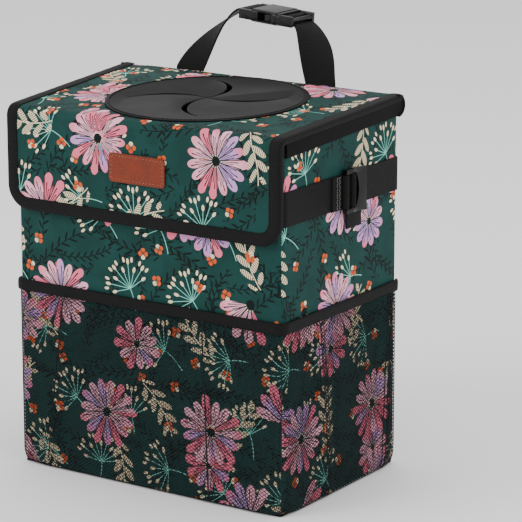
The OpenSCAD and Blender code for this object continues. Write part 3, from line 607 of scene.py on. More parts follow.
def shaped_grid(bm, columns, rows, place, chart=None):
    """A grid with its vertices at place(column, row) and, on the flat pattern, at chart(column, row)."""
    made = bmesh.ops.create_grid(bm, x_segments=columns, y_segments=rows, size=1)["verts"]
    spots = {v: (round((v.co.x + 1) / 2 * columns), round((v.co.y + 1) / 2 * rows)) for v in made}
    if chart:
        layer = bm.loops.layers.uv.verify()
        for face in {face for vert in made for face in vert.link_faces}:
            for loop in face.loops:
                loop[layer].uv = chart(*spots[loop.vert])
    for vert, spot in spots.items():
        vert.co = place(*spot)


def lengths(points, unit=1.0):
    """Distance of each point from the first one, along the line through all of them."""
    found = [0.0]
    for before, after in zip(points, points[1:]):
        found.append(found[-1] + math.dist(before, after) * unit)
    return found


def swept(run, girth, place):
    """A band with its stations at run and its section at girth on the flat pattern."""

    def chart(column, row):
        return run[column], girth[row]

    bm = bmesh.new()
    shaped_grid(bm, len(run) - 1, len(girth) - 1, place, chart)
    return bm


def shell(thickness):
    """The modifier that gives a sheet its thickness, inwards."""
    return ("SOLIDIFY", {"thickness": thickness, "offset": -1.0})


def wave(point, size, height, seed=0.0):
    """Soft deterministic ripple at a point."""
    return height * noise.noise(Vector(point) / size + Vector((seed, seed * 0.7, 0)))


def closed_ends(bm):
    """Joins the seam along a swept tube and fills its two ends."""
    bmesh.ops.remove_doubles(bm, verts=bm.verts, dist=0.005 * MM)
    bmesh.ops.holes_fill(bm, edges=[e for e in bm.edges if e.is_boundary], sides=0)
    bmesh.ops.recalc_face_normals(bm, faces=bm.faces)


def make_piece(name, bm, finish_name, nodes=(), body=None, modifiers=(), blend=None, sharp=35):
    """Turns a bmesh into a finished object that rides on a body, or, given a blend, stays on no body with its
    place baked in.
    """
    mesh = bpy.data.meshes.new(name)
    bm.to_mesh(mesh)
    bm.free()
    piece = bpy.data.objects.new(name, mesh)
    bpy.context.scene.collection.objects.link(piece)
    for kind, settings in modifiers:
        modifier = piece.modifiers.new(kind.title(), kind)
        for key, value in settings.items():
            setattr(modifier, key, value)
    if modifiers:
        bpy.context.view_layer.update()
        graph = bpy.context.evaluated_depsgraph_get()
        done = bpy.data.meshes.new_from_object(piece.evaluated_get(graph), depsgraph=graph)
        piece.modifiers.clear()
        piece.data = done
        bpy.data.meshes.remove(mesh)
        done.name = name
    piece.data.materials.clear()
    piece.data.materials.append(material(finish_name))
    piece.data.shade_smooth()
    piece.data.set_sharp_from_angle(angle=math.radians(sharp))
    if blend:
        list(blend)
        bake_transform(piece)
    else:
        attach(piece, body)
    if nodes:
        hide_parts(*nodes)
    return piece


def node_copy(node):
    """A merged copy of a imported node, with its flat faces joined and a pattern laid on by its sides."""
    bm = bmesh.new()
    bm.from_mesh(frame["nodes"][node].data)
    bmesh.ops.remove_doubles(bm, verts=bm.verts, dist=0.002 * MM)
    bmesh.ops.dissolve_limit(bm, angle_limit=math.radians(0.5), verts=bm.verts, edges=bm.edges)
    lay_pattern(bm)
    return bm


def lay_pattern(bm):
    """Lays each face on the flat pattern, seen along the axis that it faces most."""
    layer = bm.loops.layers.uv.verify()
    for face in bm.faces:
        sides = [abs(v) for v in face.normal]
        main = sides.index(max(sides))
        for loop in face.loops:
            x, y, z = loop.vert.co
            loop[layer].uv = ((y, z), (x, z), (x, y))[main]


def soft_copy(node, finish_name, body, slot, bevel, segments=2, name=None, blend=None, reshape=None):
    """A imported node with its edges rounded, and its vertices moved first where it has a softer shape."""
    bm = node_copy(node)
    if reshape:
        for vert in bm.verts:
            vert.co = reshape(vert.co)
    rounding = {
        "width": bevel,
        "segments": segments,
        "limit_method": "ANGLE",
        "angle_limit": math.radians(32),
    }
    name = name or node + "_sewn"
    return make_piece(name, bm, finish_name, [node], body, [("BEVEL", rounding)], blend, 50)


# Walls of the body: direction to the right seen from outside, outward direction, half length, distance
# of the cloth from the middle, and place along the print
WALLS = {
    "front": (Vector((1, 0, 0)), Vector((0, -1, 0)), BODY_W / 2, BODY_D / 2, 0.0),
    "right": (Vector((0, 1, 0)), Vector((1, 0, 0)), BODY_D / 2, BODY_W / 2, 0.31),
    "back": (Vector((-1, 0, 0)), Vector((0, 1, 0)), BODY_W / 2, BODY_D / 2, 0.57),
    "left": (Vector((0, -1, 0)), Vector((-1, 0, 0)), BODY_D / 2, BODY_W / 2, 0.83),
}


def wall_half(wall):
    """Half the length of a wall's cloth, to the middle of its round corners."""
    return WALLS[wall][2] - CORNER_R + CORNER_R * math.pi / 4


def drawn_in(point):
    """Draws a point near one of the body's soft lower corners in and up."""
    reach = BODY_W / 2 - abs(point.x) + BODY_D / 2 - abs(point.y)
    near = min(1.0, max(0.0, 1 - reach / DRAWN_ALONG)) * max(0.0, 1 - point.z / DRAWN_UP)
    pull = DRAWN_DEPTH * near * near
    return point + Vector((-math.copysign(pull, point.x), -math.copysign(pull, point.y), pull * 0.5))


def wall_stations(wall, step):
    """Places along a wall from seam to seam, close enough together to follow its round corners."""
    edge = wall_half(wall)
    return spaced([-edge, -edge + CORNER_R, edge - CORNER_R, edge], step)


def on_wall(wall, u, z, out):
    """Place at u along a wall from its middle, at height z, and out from its cloth."""
    along, outward, half, reach, _ = WALLS[wall]
    straight = half - CORNER_R
    turn = max(0.0, abs(u) - straight) / CORNER_R
    side = math.copysign(min(abs(u), straight) + (CORNER_R + out) * math.sin(turn), u)
    depth = reach - CORNER_R + (CORNER_R + out) * math.cos(turn)
    return drawn_in(along * side + outward * depth + Vector((0, 0, z)))


def lid_top(y):
    return LID_MID_Z + y * math.tan(TILT)


def on_sheet(x, s, n):
    """Place on the lid and flap: x across, s from the lid's back edge to the flap's, n above the cloth."""
    if s <= LID_LEN:
        y = LID_BACK - s
        level = y * math.cos(TILT) - n * math.sin(TILT)
        return Vector((x, level, LID_MID_Z + y * math.sin(TILT) + n * math.cos(TILT)))
    if s <= LID_LEN + FOLD_LEN:
        a = math.pi / 2 + TILT + (s - LID_LEN) / FOLD_R
        return Vector((x, FOLD.y + (FOLD_R + n) * math.cos(a), FOLD.z + (FOLD_R + n) * math.sin(a)))
    return Vector((x, FLAP_FACE_Y - n, FOLD.z - (s - LID_LEN - FOLD_LEN)))


def sheet_sides(s):
    """Left and right edge of the lid and flap at s."""
    flare = (LID_LEFT - LID_HALF) * max(0.0, 1 - s / LID_LEN)
    up = SHEET_LEN - s
    inset = 0.0
    if up < FLAP_CORNER_R:
        inset = FLAP_CORNER_R - math.sqrt(max(0.0, FLAP_CORNER_R**2 - (FLAP_CORNER_R - up) ** 2))
    return -(LID_HALF + flare - inset), LID_HALF - inset


def spaced(points, step):
    """Values from the first point to the last, through each, at most a step apart."""
    found = [points[0]]
    for start, end in zip(points, points[1:]):
        count = max(1, math.ceil(abs(end - start) / step))
        found += [start + (end - start) * (i + 1) / count for i in range(count)]
    return found


BLEND_FOLD = ("lid", "flap", on_sheet(0, LID_LEN, 0), on_sheet(0, LID_LEN + FOLD_LEN, 0))


class BIN_OT_walls(bpy.types.Operator):
    """Sew the four printed walls, which meet at seams in the round corners"""

    bl_idname = "trash_bin.walls"
    bl_label = "Printed Walls"

    def execute(self, context):
        ripple = context.scene.trash_bin_sewing.wall_ripple
        bm = bmesh.new()
        rows = 66
        for wall in WALLS:
            shift = WALLS[wall][4]
            edge = wall_half(wall)
            us = wall_stations(wall, 4 * MM)

            def spot(column, row):
                u = us[column]
                top = lid_top(on_wall(wall, u, 0, 0).y) - WALL_BELOW_LID
                return u, WALL_LOW + (top - WALL_LOW) * row / rows

            def place(column, row):
                u, z = spot(column, row)
                to_seam = edge - abs(u)
                held = min(1.0, to_seam / FROM_SEAM) * min(1.0, (z - WALL_LOW) / FROM_BASE)
                out = wave((u, shift, z), 46 * MM, ripple, 3.1) * held - 0.15 * MM
                out -= SEAM_DEPTH * math.exp(-((to_seam / SEAM_WIDTH) ** 2))
                return on_wall(wall, u, z, out)

            def chart(column, row):
                u, z = spot(column, row)
                return u + shift, z

            shaped_grid(bm, len(us) - 1, rows, place, chart)
        nodes = ["front_panel", "back_panel", "left_panel", "right_panel"]
        sheet = [shell(0.8 * MM)]
        make_piece("printed_walls", bm, "printed cloth", nodes, "bin", sheet)
        return {"FINISHED"}


class BIN_OT_lid_sheet(bpy.types.Operator):
    """Lay the printed cloth over the lid, round the fold and down the flap"""

    bl_idname = "trash_bin.lid_sheet"
    bl_label = "Lid and Flap Cloth"

    def execute(self, context):
        bm = bmesh.new()
        corner = SHEET_LEN - FLAP_CORNER_R
        rows = spaced([SHEET_LEN, SHEET_LEN - 4 * MM], 0.5 * MM)[:-1]
        rows += spaced([SHEET_LEN - 4 * MM, corner], 1.5 * MM)[:-1]
        rows += spaced([corner, LID_LEN + FOLD_LEN], 4 * MM)[:-1]
        rows += spaced([LID_LEN + FOLD_LEN, LID_LEN], 1.2 * MM)[:-1]
        rows += spaced([LID_LEN, 0.0], 3.6 * MM)
        columns = 68

        def spot(column, row):
            s = rows[row]
            left, right = sheet_sides(s)
            return left + (right - left) * column / columns, s

        def place(column, row):
            x, s = spot(column, row)
            left, right = sheet_sides(s)
            held = min(1.0, min(x - left, right - x, SHEET_LEN - s) / FROM_BINDING)
            puff = (wave((x, s, 0), 52 * MM, 0.5 * MM, 7.7) - 0.1 * MM) * max(0.0, held)
            if abs(s - LID_LEN) < FROM_FOLD:
                puff *= abs(s - LID_LEN) / FROM_FOLD
            return on_sheet(x, s, puff)

        def chart(column, row):
            x, s = spot(column, row)
            return x + 1.17, SHEET_LEN - s

        shaped_grid(bm, columns, len(rows) - 1, place, chart)
        middle = on_sheet(0, LID_BACK - INSERT_BACK, 0)
        spare = [f for f in bm.faces if (f.calc_center_median() - middle).length < INSERT_HOLE]
        bmesh.ops.delete(bm, geom=spare, context="FACES")
        for vert in bm.verts:
            away = vert.co - middle
            inner = away.length < INSERT_HOLE + 9 * MM and LID_BACK - abs(away.y) > 2 * MM
            if vert.is_boundary and inner:
                vert.co = middle + away * (INSERT_HOLE / away.length)
        nodes = ["lid_cloth", "flap_fold", "flap_cloth"]
        sheet = [shell(0.85 * MM)]
        name = "lid_and_flap_cloth"
        make_piece(name, bm, "printed cloth", nodes, None, sheet, BLEND_FOLD)
        return {"FINISHED"}


# Section of the edge binding, in millimetres: place in from the edge, and height above the cloth
BINDING = (
    (9.0, -0.05), (8.9, 0.6), (8.5, 0.86), (7.9, 0.72), (7.3, 0.72), (6.6, 0.92), (4.5, 1.02),
    (2.0, 0.95), (0.4, 0.78), (-0.45, 0.3), (-0.88, -0.7), (-0.95, -1.9), (-0.88, -3.1), (-0.45, -4.1),
    (0.4, -4.55), (2.0, -4.7), (7.0, -4.7), (8.6, -4.6), (9.0, -3.85), (9.0, -0.05),
)


class BIN_OT_binding(bpy.types.Operator):
    """Fold the binding tape round the edges of the lid and flap in one run"""

    bl_idname = "trash_bin.binding"
    bl_label = "Edge Binding"

    def execute(self, context):
        corner = SHEET_LEN - FLAP_CORNER_R
        turns = 12

        def round_corner(side, a):
            """Edge at angle a of a flap corner, from its side at 0 to its lower edge."""
            x = side * (LID_HALF - FLAP_CORNER_R * (1 - math.cos(a)))
            return x, corner + FLAP_CORNER_R * math.sin(a), side * math.cos(a), math.sin(a)

        # Place of the edge on the sheet, and its outward direction there
        edge = []
        for s in spaced([0.0, LID_LEN, LID_LEN + FOLD_LEN, corner], 2.4 * MM):
            edge.append((LID_HALF, s, 1.0, 0.0))
        for i in range(1, turns + 1):
            edge.append(round_corner(1, math.pi / 2 * i / turns))
        reach = LID_HALF - FLAP_CORNER_R
        for x in spaced([reach, -reach], 4 * MM)[1:]:
            edge.append((x, SHEET_LEN, 0.0, 1.0))
        for i in range(1, turns + 1):
            edge.append(round_corner(-1, math.pi / 2 * (1 - i / turns)))
        for s in spaced([corner, LID_LEN + FOLD_LEN, LID_LEN], 2.4 * MM)[1:]:
            edge.append((-LID_HALF, s, -1.0, 0.0))
        flare = LID_LEFT - LID_HALF
        size = math.hypot(flare, LID_LEN)
        for s in spaced([LID_LEN, 0.0], 2.4 * MM)[1:]:
            x = -LID_HALF - flare * (1 - s / LID_LEN)
            edge.append((x, s, -LID_LEN / size, flare / size))
        run = lengths([spot[:2] for spot in edge])
        girth = lengths(BINDING, MM)

        def place(column, row):
            x, s, side_x, side_s = edge[column]
            inwards, height = BINDING[row]
            height *= MM
            inwards = inwards * MM + wave((run[column], 0, 0), 11 * MM, 0.25 * MM, 5.0) * (inwards > 5)
            if height > 0:
                height += wave((run[column], inwards, 0), 7 * MM, 0.12 * MM, 9.0)
            return on_sheet(x - side_x * inwards, max(0.0, s - side_s * inwards), height)

        bm = swept(run, girth, place)
        closed_ends(bm)
        nodes = ["lid_binding_left", "lid_binding_right", "flap_fold_binding", "flap_binding"]
        make_piece("edge_binding", bm, "binding tape", nodes, None, (), BLEND_FOLD, 60)
        return {"FINISHED"}


# Gathers of each net: place along the wall at the band and at the base, and width, in millimetres
GATHERS = {
    "front": [(-73, -92, 9), (53, 59, 10)],
    "right": [(-35, -20, 8), (66, 58, 11)],
    "left": [(-50, -60, 9), (30, 22, 8)],
}


def net_place(wall, u, z):
    """Place of the net on a wall, drawn together and standing out at its gathers."""
    rise = (POCKET_TOP - z) / POCKET_TOP
    pull = 0.0
    out = 1.25 * MM + wave((u, z, 0.3), 40 * MM, 0.7 * MM, 2.0) * math.sin(math.pi * rise)
    edge = wall_half(wall)
    for top, low, width in GATHERS[wall]:
        middle = (top + (low - top) * rise) * MM
        away = (u - middle) / (width * MM)
        near = math.exp(-away * away)
        pull -= 0.8 * width * MM * away * near
        fade = min(1.0, rise * 8) * min(1.0, (1 - rise) * 14)
        out += (3.0 * near + 1.6 * near * math.cos(away * 7)) * MM * fade
    u = max(-edge, min(edge, u + pull))
    held = min(1.0, (edge - abs(u)) / FROM_NET_END)
    return on_wall(wall, u, z, NET_OUT + (out - NET_OUT) * held)


def diamond_net(sewing, wide, tall):
    """A flat net of diamonds, cut to a width and a height round its middle."""
    bm = bmesh.new()
    count = math.ceil(wide / sewing.net_mesh_w + tall / sewing.net_mesh_h) + 2
    bmesh.ops.create_grid(bm, x_segments=count, y_segments=count, size=count / 2)
    turn = Matrix.Rotation(math.pi / 4, 3, "Z")
    bmesh.ops.rotate(bm, verts=bm.verts, cent=(0, 0, 0), matrix=turn)
    size = (sewing.net_mesh_w / math.sqrt(2), sewing.net_mesh_h / math.sqrt(2), 1)
    bmesh.ops.scale(bm, verts=bm.verts, vec=size)
    for normal, reach in (((1, 0, 0), wide), ((-1, 0, 0), wide), ((0, 1, 0), tall), ((0, -1, 0), tall)):
        everything = bm.verts[:] + bm.edges[:] + bm.faces[:]
        cut = Vector(normal) * (reach / 2)
        bmesh.ops.bisect_plane(bm, geom=everything, plane_co=cut, plane_no=normal, clear_outer=True)
    return bm


class BIN_OT_nets(bpy.types.Operator):
    """Knit the three pocket nets, gathered between the elastic band and the base"""

    bl_idname = "trash_bin.nets"
    bl_label = "Pocket Nets"

    def execute(self, context):
        sewing = context.scene.trash_bin_sewing
        fullness = sewing.net_fullness
        tall = POCKET_TOP - NET_BELOW_BAND - NET_LOW
        cords = {
            "thickness": sewing.net_cord,
            "use_even_offset": False,
            "use_boundary": True,
            "use_replace": True,
        }
        for wall in GATHERS:
            bm = diamond_net(sewing, 2 * wall_half(wall) * fullness, tall)
            for vert in bm.verts:
                slack = wave((vert.co.x, vert.co.y, 0), 9 * MM, 0.5 * MM, 1.0)
                vert.co = net_place(wall, (vert.co.x + slack) / fullness, NET_LOW + tall / 2 + vert.co.y)
            name = wall + "_pocket_net"
            knitted = [("WIREFRAME", cords)]
            make_piece(name, bm, "net cord", [wall + "_net"], "bin", knitted, None, 80)
        return {"FINISHED"}


# Section of the elastic band, in millimetres: place out from the wall, and height
BAND = (
    (1.9, 0.0), (2.55, 0.3), (2.75, 2.0), (2.8, 5.0), (2.7, 7.4), (2.2, 8.45), (1.4, 8.7), (0.6, 8.5),
    (0.15, 7.6), (0.1, 0.2),
)
BAND_TALL = 8.7 * MM


class BIN_OT_bands(bpy.types.Operator):
    """Fold the elastic band over the nets' top edge, round three walls"""

    bl_idname = "trash_bin.bands"
    bl_label = "Elastic Band"

    def execute(self, context):
        stations = []
        for wall in ("left", "front", "right"):
            stations += [(wall, u) for u in wall_stations(wall, 2.5 * MM)]
        run = [0.0]
        for (wall, u), (next_wall, next_u) in zip(stations, stations[1:]):
            run.append(run[-1] + (next_u - u if next_wall == wall else 0.0))
        girth = lengths(BAND, MM)

        def place(column, row):
            wall, u = stations[column]
            out, up = BAND[row]
            sag = wave((run[column], 0, 0), 24 * MM, 0.6 * MM, 4.0)
            puff = wave((run[column], up, 0), 6 * MM, 0.3 * MM, 6.0) * (out > 1.5)
            z = BAND_LOW + up * MM * (POCKET_TOP - BAND_LOW) / BAND_TALL
            return on_wall(wall, u, z + min(0.0, sag) * (up > 0.5), out * MM + min(0.0, puff))

        bm = swept(run, girth, place)
        bmesh.ops.remove_doubles(bm, verts=bm.verts, dist=0.05 * MM)
        nodes = ["front_net_band", "left_net_band", "right_net_band"]
        make_piece("pocket_band", bm, "elastic band", nodes, "bin", (), None, 60)
        return {"FINISHED"}


def webbing(name, stations, width, thickness, finish_name, nodes, body, slot, blend=None):
    """Strap through stations of middle, direction along and direction across, with soft edges."""
    half = width / 2
    thin = thickness / 2
    flat = half - 0.25 * MM
    profile = [(-flat, thin), (0.0, thin * 1.04), (flat, thin), (half, thin * 0.5), (half, -thin * 0.5)]
    profile += [(flat, -thin), (0.0, -thin * 1.04), (-flat, -thin), (-half, -thin * 0.5)]
    profile += [(-half, thin * 0.5), (-flat, thin)]
    run = lengths([middle for middle, _, _ in stations])

    def place(column, row):
        middle, along, across = stations[column]
        side, height = profile[row]
        return middle + across * side + along.cross(across) * height

    bm = swept(run, [side for side, _ in profile], place)
    closed_ends(bm)
    return make_piece(name, bm, finish_name, nodes, body, (), blend, 50)


def stitches(name, places, size, finish_name, body):
    """Short stitches, each a middle, a direction and the face's outward direction."""
    bm = bmesh.new()
    shape = Matrix.Diagonal((size[0] / 2, size[1] / 2, size[2] / 2, 1))
    for middle, along, outward in places:
        turn = Matrix((along, outward.cross(along), outward)).transposed().to_4x4()
        stand = Matrix.Translation(middle) @ turn @ shape
        bmesh.ops.create_icosphere(bm, subdivisions=1, radius=1, matrix=stand)
    return make_piece(name, bm, finish_name, (), body, (), None, 80)


# The ladder lock is drawn at a share of its packed length, towards its pivot bar
LOCK_BAR_R = 1.7 * MM
LOCK_PIVOT_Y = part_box("ladder_lock")[0].y + LOCK_BAR_R
LOCK_SHARE = 0.78


def nearer_pivot(point):
    """Point of the lock, or of the webbing in it, drawn towards the lock's pivot bar."""
    return Vector((point.x, LOCK_PIVOT_Y + (point.y - LOCK_PIVOT_Y) * LOCK_SHARE, point.z))


class BIN_OT_belt(bpy.types.Operator):
    """Run the belt round the back, with its sewn loop, its turn through the lock and its loose end"""

    bl_idname = "trash_bin.belt"
    bl_label = "Belt"

    def execute(self, context):
        soft = context.scene.trash_bin_sewing.tape_soft
        first = nearer_pivot(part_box("belt_turn")[0]).y + WEB_T
        sides = wall_half("back")
        ends = wall_half("left")
        parts = (
            ("right", first, wall_half("right")),
            ("back", -sides, sides),
            ("left", -ends, ends),
            ("front", -wall_half("front"), -(BODY_W / 2 - CORNER_R)),
        )
        lift = WEB_T / 2 + 0.1 * MM
        stations = []
        for wall, begin, end in parts:
            for u in spaced([begin, end], 3 * MM)[1:-1]:
                here = on_wall(wall, u, BELT_Z, lift)
                ahead = on_wall(wall, u + 0.1 * MM, BELT_Z, lift)
                stations.append((here, (ahead - here).normalized(), Vector((0, 0, 1))))
        nodes = ["waist_belt"]
        webbing("belt_webbing", stations, WEB_W, WEB_T, "woven webbing", nodes, "bin", "webbing")
        for node in ("belt_stub", "belt_tail"):
            soft_copy(node, "woven webbing", "bin", "webbing", soft)
        # The webbing that lies over the lock's middle bar is drawn towards the pivot bar like the lock, and
        # rides on no body
        follows = [Vector((BODY_W / 2 + out * MM, first, BELT_Z)) for out in (2.2, 4.4)]
        bend = ("bin", "lock", *follows)
        soft_copy("belt_turn", "woven webbing", None, "webbing", soft, blend=bend, reshape=nearer_pivot)
        # Two rows of slanted stitches on the sewn loop
        out = Vector((1, 0, 0))
        face_x = BODY_W / 2 + 2 * WEB_T + 0.12 * MM
        places = []
        for row in range(2):
            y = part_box("belt_stub")[1].y - 9.5 * MM - row * 3.2 * MM
            for i in range(12):
                z = BELT_Z - WEB_W / 2 + (1.6 + 2.02 * i) * MM
                lean = Vector((0, 1 if i % 2 else -1, 1.25)).normalized()
                places.append((Vector((face_x, y, z)), lean, out))
        size = (2.7 * MM, 0.62 * MM, 0.5 * MM)
        stitches("belt_stitches", places, size, "seam thread", "bin")
        soft = context.scene.trash_bin_sewing.mould_soft
        lock = ("ladder_lock", "moulded plastic", "lock", "buckle_plastic")
        soft_copy(*lock, soft, 3, reshape=nearer_pivot)
        return {"FINISHED"}


# The handle's buckle: its middle, and the turn from its own frame, with X towards the plug, to the bin's
PLUG_WAY = Vector(JOINTS["buckle_release"]["axis"]).normalized()
BUCKLE = Vector((-7 * MM, BODY_D / 2 + 25 * MM, HINGE.z + 46 * MM))
BUCKLE_WAY = Matrix.Rotation(-math.asin(PLUG_WAY.z), 3, "Y")
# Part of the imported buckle's length that the sewn one shows
BUCKLE_SHARE = 0.75
# Distance from a bar of the buckle to the middle of the webbing round it, in millimetres
STRAP_LINE = 2.9
# Feet of the handle's legs, in millimetres: y and depth below the lid's hinge where a leg starts, and x
# of the right one
FOOT_Y = 81.55
FOOT_DROP = 2
RIGHT_FOOT_X = 49
# Legs of the handle, in millimetres: side, x of the foot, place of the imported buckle's bar along it and,
# in the buckle's own frame, the leg's upper end and the point that it comes from
LEFT_LEG = (-1, -75, -28.2, (-25, 0, STRAP_LINE), (-41, 0, STRAP_LINE - 3))
RIGHT_LEG = (1, RIGHT_FOOT_X, 21.8, (25, 0, -STRAP_LINE), (35, 0, -STRAP_LINE - 2))
# The way up each foot, in millimetres: y, and drop below the leg's start
FOOT_WAY = ((79.75, 38), (79.75, 32), (79.75, 26), (80.1, 24), (81.2, 21), (FOOT_Y, 19), (FOOT_Y, 10))


def in_buckle(x, y, z):
    """Place in the buckle's own frame, given in millimetres."""
    return BUCKLE + BUCKLE_WAY @ Vector((x, y, z)) * MM


def shortened(point):
    """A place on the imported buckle, drawn towards its middle along its length."""
    return point - PLUG_WAY * ((point - BUCKLE).dot(PLUG_WAY) * (1 - BUCKLE_SHARE))


def leg_stations(side, foot_x, bar_x, end, bend, count):
    """Stations of one leg of the handle, from its sewn foot up to its loop round a bar of the buckle."""
    foot = Vector((foot_x * MM, FOOT_Y * MM, HINGE.z - FOOT_DROP * MM))
    line = [foot, foot + Vector((-side * 7, 6, 19)) * MM, in_buckle(*bend), in_buckle(*end)]
    up = Vector((0, 0, 1))
    stations = []
    for y, drop in FOOT_WAY:
        stations.append((Vector((foot.x, y * MM, foot.z - drop * MM)), up, Vector((side, 0, 0))))
    for i in range(count + 1):
        t = i / count
        shares = ((1 - t) ** 3, 3 * t * (1 - t) ** 2, 3 * t * t * (1 - t), t**3)
        point = sum((spot * share for spot, share in zip(line, shares)), Vector())
        steps = ((1 - t) ** 2, 2 * t * (1 - t), t * t)
        along = sum(((line[k + 1] - line[k]) * steps[k] for k in range(3)), Vector()).normalized()
        turn = math.pi / 2 * t * t * (3 - 2 * t)
        wanted = Vector((side * math.cos(turn), math.sin(turn), 0))
        across = (wanted - along * wanted.dot(along)).normalized()
        stations.append((point, along, across))
    for i in range(13):
        a = math.radians(25 * i)
        sin = side * math.sin(a)
        cos = side * math.cos(a)
        place = in_buckle(bar_x * BUCKLE_SHARE - STRAP_LINE * sin, 0, -STRAP_LINE * cos)
        stations.append((place, BUCKLE_WAY @ Vector((-cos, 0, sin)), Vector((0, 1, 0))))
    return stations


class BIN_OT_handle(bpy.types.Operator):
    """Raise the two legs of the carry handle and twist them over to the buckle"""

    bl_idname = "trash_bin.handle"
    bl_label = "Handle"

    def execute(self, context):
        count = context.scene.trash_bin_sewing.web_stations
        bend = ("bin", "plug", Vector((RIGHT_FOOT_X * MM, 0.082, HINGE.z)), in_buckle(27, 0, 0))
        for way, leg, body, blend in (("left", LEFT_LEG, "bin", None), ("right", RIGHT_LEG, None, bend)):
            stations = leg_stations(*leg, count)
            nodes = ["handle_strap_" + way]
            name = "handle_leg_" + way
            webbing(name, stations, WEB_W, WEB_T, "woven webbing", nodes, body, "webbing", blend)
        soft = context.scene.trash_bin_sewing.mould_soft
        for node, body in (("buckle_housing", "bin"), ("buckle_plug", "plug"), ("buckle_prongs", "plug")):
            soft_copy(node, "moulded plastic", body, "buckle_plastic", soft, 3, reshape=shortened)
        return {"FINISHED"}


class BIN_OT_patch(bpy.types.Operator):
    """Sew the bare leather patch to the flap with a row of stitches along each side"""

    bl_idname = "trash_bin.patch"
    bl_label = "Leather Patch"

    def execute(self, context):
        low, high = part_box("leather_patch")
        wide = high.x - low.x
        tall = high.z - low.z
        thick = high.y - low.y
        middle = Vector(((low.x + high.x) / 2, high.y, (low.z + high.z) / 2))
        bm = bmesh.new()
        bmesh.ops.create_grid(bm, x_segments=1, y_segments=1, size=0.5)
        bmesh.ops.scale(bm, verts=bm.verts, vec=(wide, tall, 1))
        rounding = {"offset": 3 * MM, "offset_type": "OFFSET", "affect": "VERTICES", "segments": 8}
        bmesh.ops.bevel(bm, geom=bm.verts[:], profile=0.5, material=-1, **rounding)
        # It lies on the rippled cloth, so it stands a little further out than packed and is thinner
        stand_out = 0.25 * MM
        thinner = 0.62 * MM
        bmesh.ops.translate(bm, verts=bm.verts, vec=(0, 0, thick + stand_out))
        rim = [e for e in bm.edges if e.is_boundary]
        skirt = bmesh.ops.extrude_edge_only(bm, edges=rim)["geom"]
        verts = [part for part in skirt if isinstance(part, bmesh.types.BMVert)]
        bmesh.ops.translate(bm, verts=verts, vec=(0, 0, thinner - thick))
        bmesh.ops.triangulate(bm, faces=[f for f in bm.faces if len(f.verts) > 4])
        face = Matrix.Translation(middle) @ Matrix.Rotation(math.pi / 2, 4, "X")
        bmesh.ops.transform(bm, matrix=face, verts=bm.verts)
        bmesh.ops.recalc_face_normals(bm, faces=bm.faces)
        make_piece("patch", bm, "tan leather", ["leather_patch"], "flap", (), None, 30)
        pitch = context.scene.trash_bin_sewing.stitch_pitch
        stitch_in = 2.0 * MM
        end_gap = 1.5 * MM
        half_w = wide / 2 - stitch_in
        half_h = tall / 2 - stitch_in
        right = Vector((1, 0, 0))
        up = Vector((0, 0, 1))
        out = Vector((0, -1, 0))
        lift = Vector((0, -thick, 0))
        places = []
        for along, across, reach, off in ((right, up, half_w, half_h), (up, right, half_h, half_w)):
            length = 2 * (reach - end_gap)
            count = max(2, round(length / pitch))
            for i in range(count + 1):
                at = -reach + end_gap + length * i / count
                for side in (-1, 1):
                    places.append((middle + lift + along * at + across * (side * off), along, out))
        size = (2.1 * MM, 0.8 * MM, 0.6 * MM)
        stitches("patch_stitches", places, size, "patch thread", "flap")
        return {"FINISHED"}


class BIN_OT_insert(bpy.types.Operator):
    """Finish the rubber insert with its pinwheel of slits"""

    bl_idname = "trash_bin.insert"
    bl_label = "Rubber Insert"

    def execute(self, context):
        soft_copy("lid_insert", "satin rubber", "lid", "insert_rubber", 0.22 * MM, 2, "pinwheel_insert")
        return {"FINISHED"}


# Skirts of the lid: distance of their lower edge below the cloth, and how much taller they are drawn
SKIRT_LOW = 14.7 * MM
SKIRT_TALLER = 0.45
# Tape round the back end of each skirt, in millimetres: width, thickness, radius of its arch, and place
# of the arch's middle below the cloth and from the lid's back edge
TAPE_W = 3.2
TAPE_T = 1.2
ARCH_R = 7.8
ARCH_LOW = 7.0
ARCH_BACK = 4.9


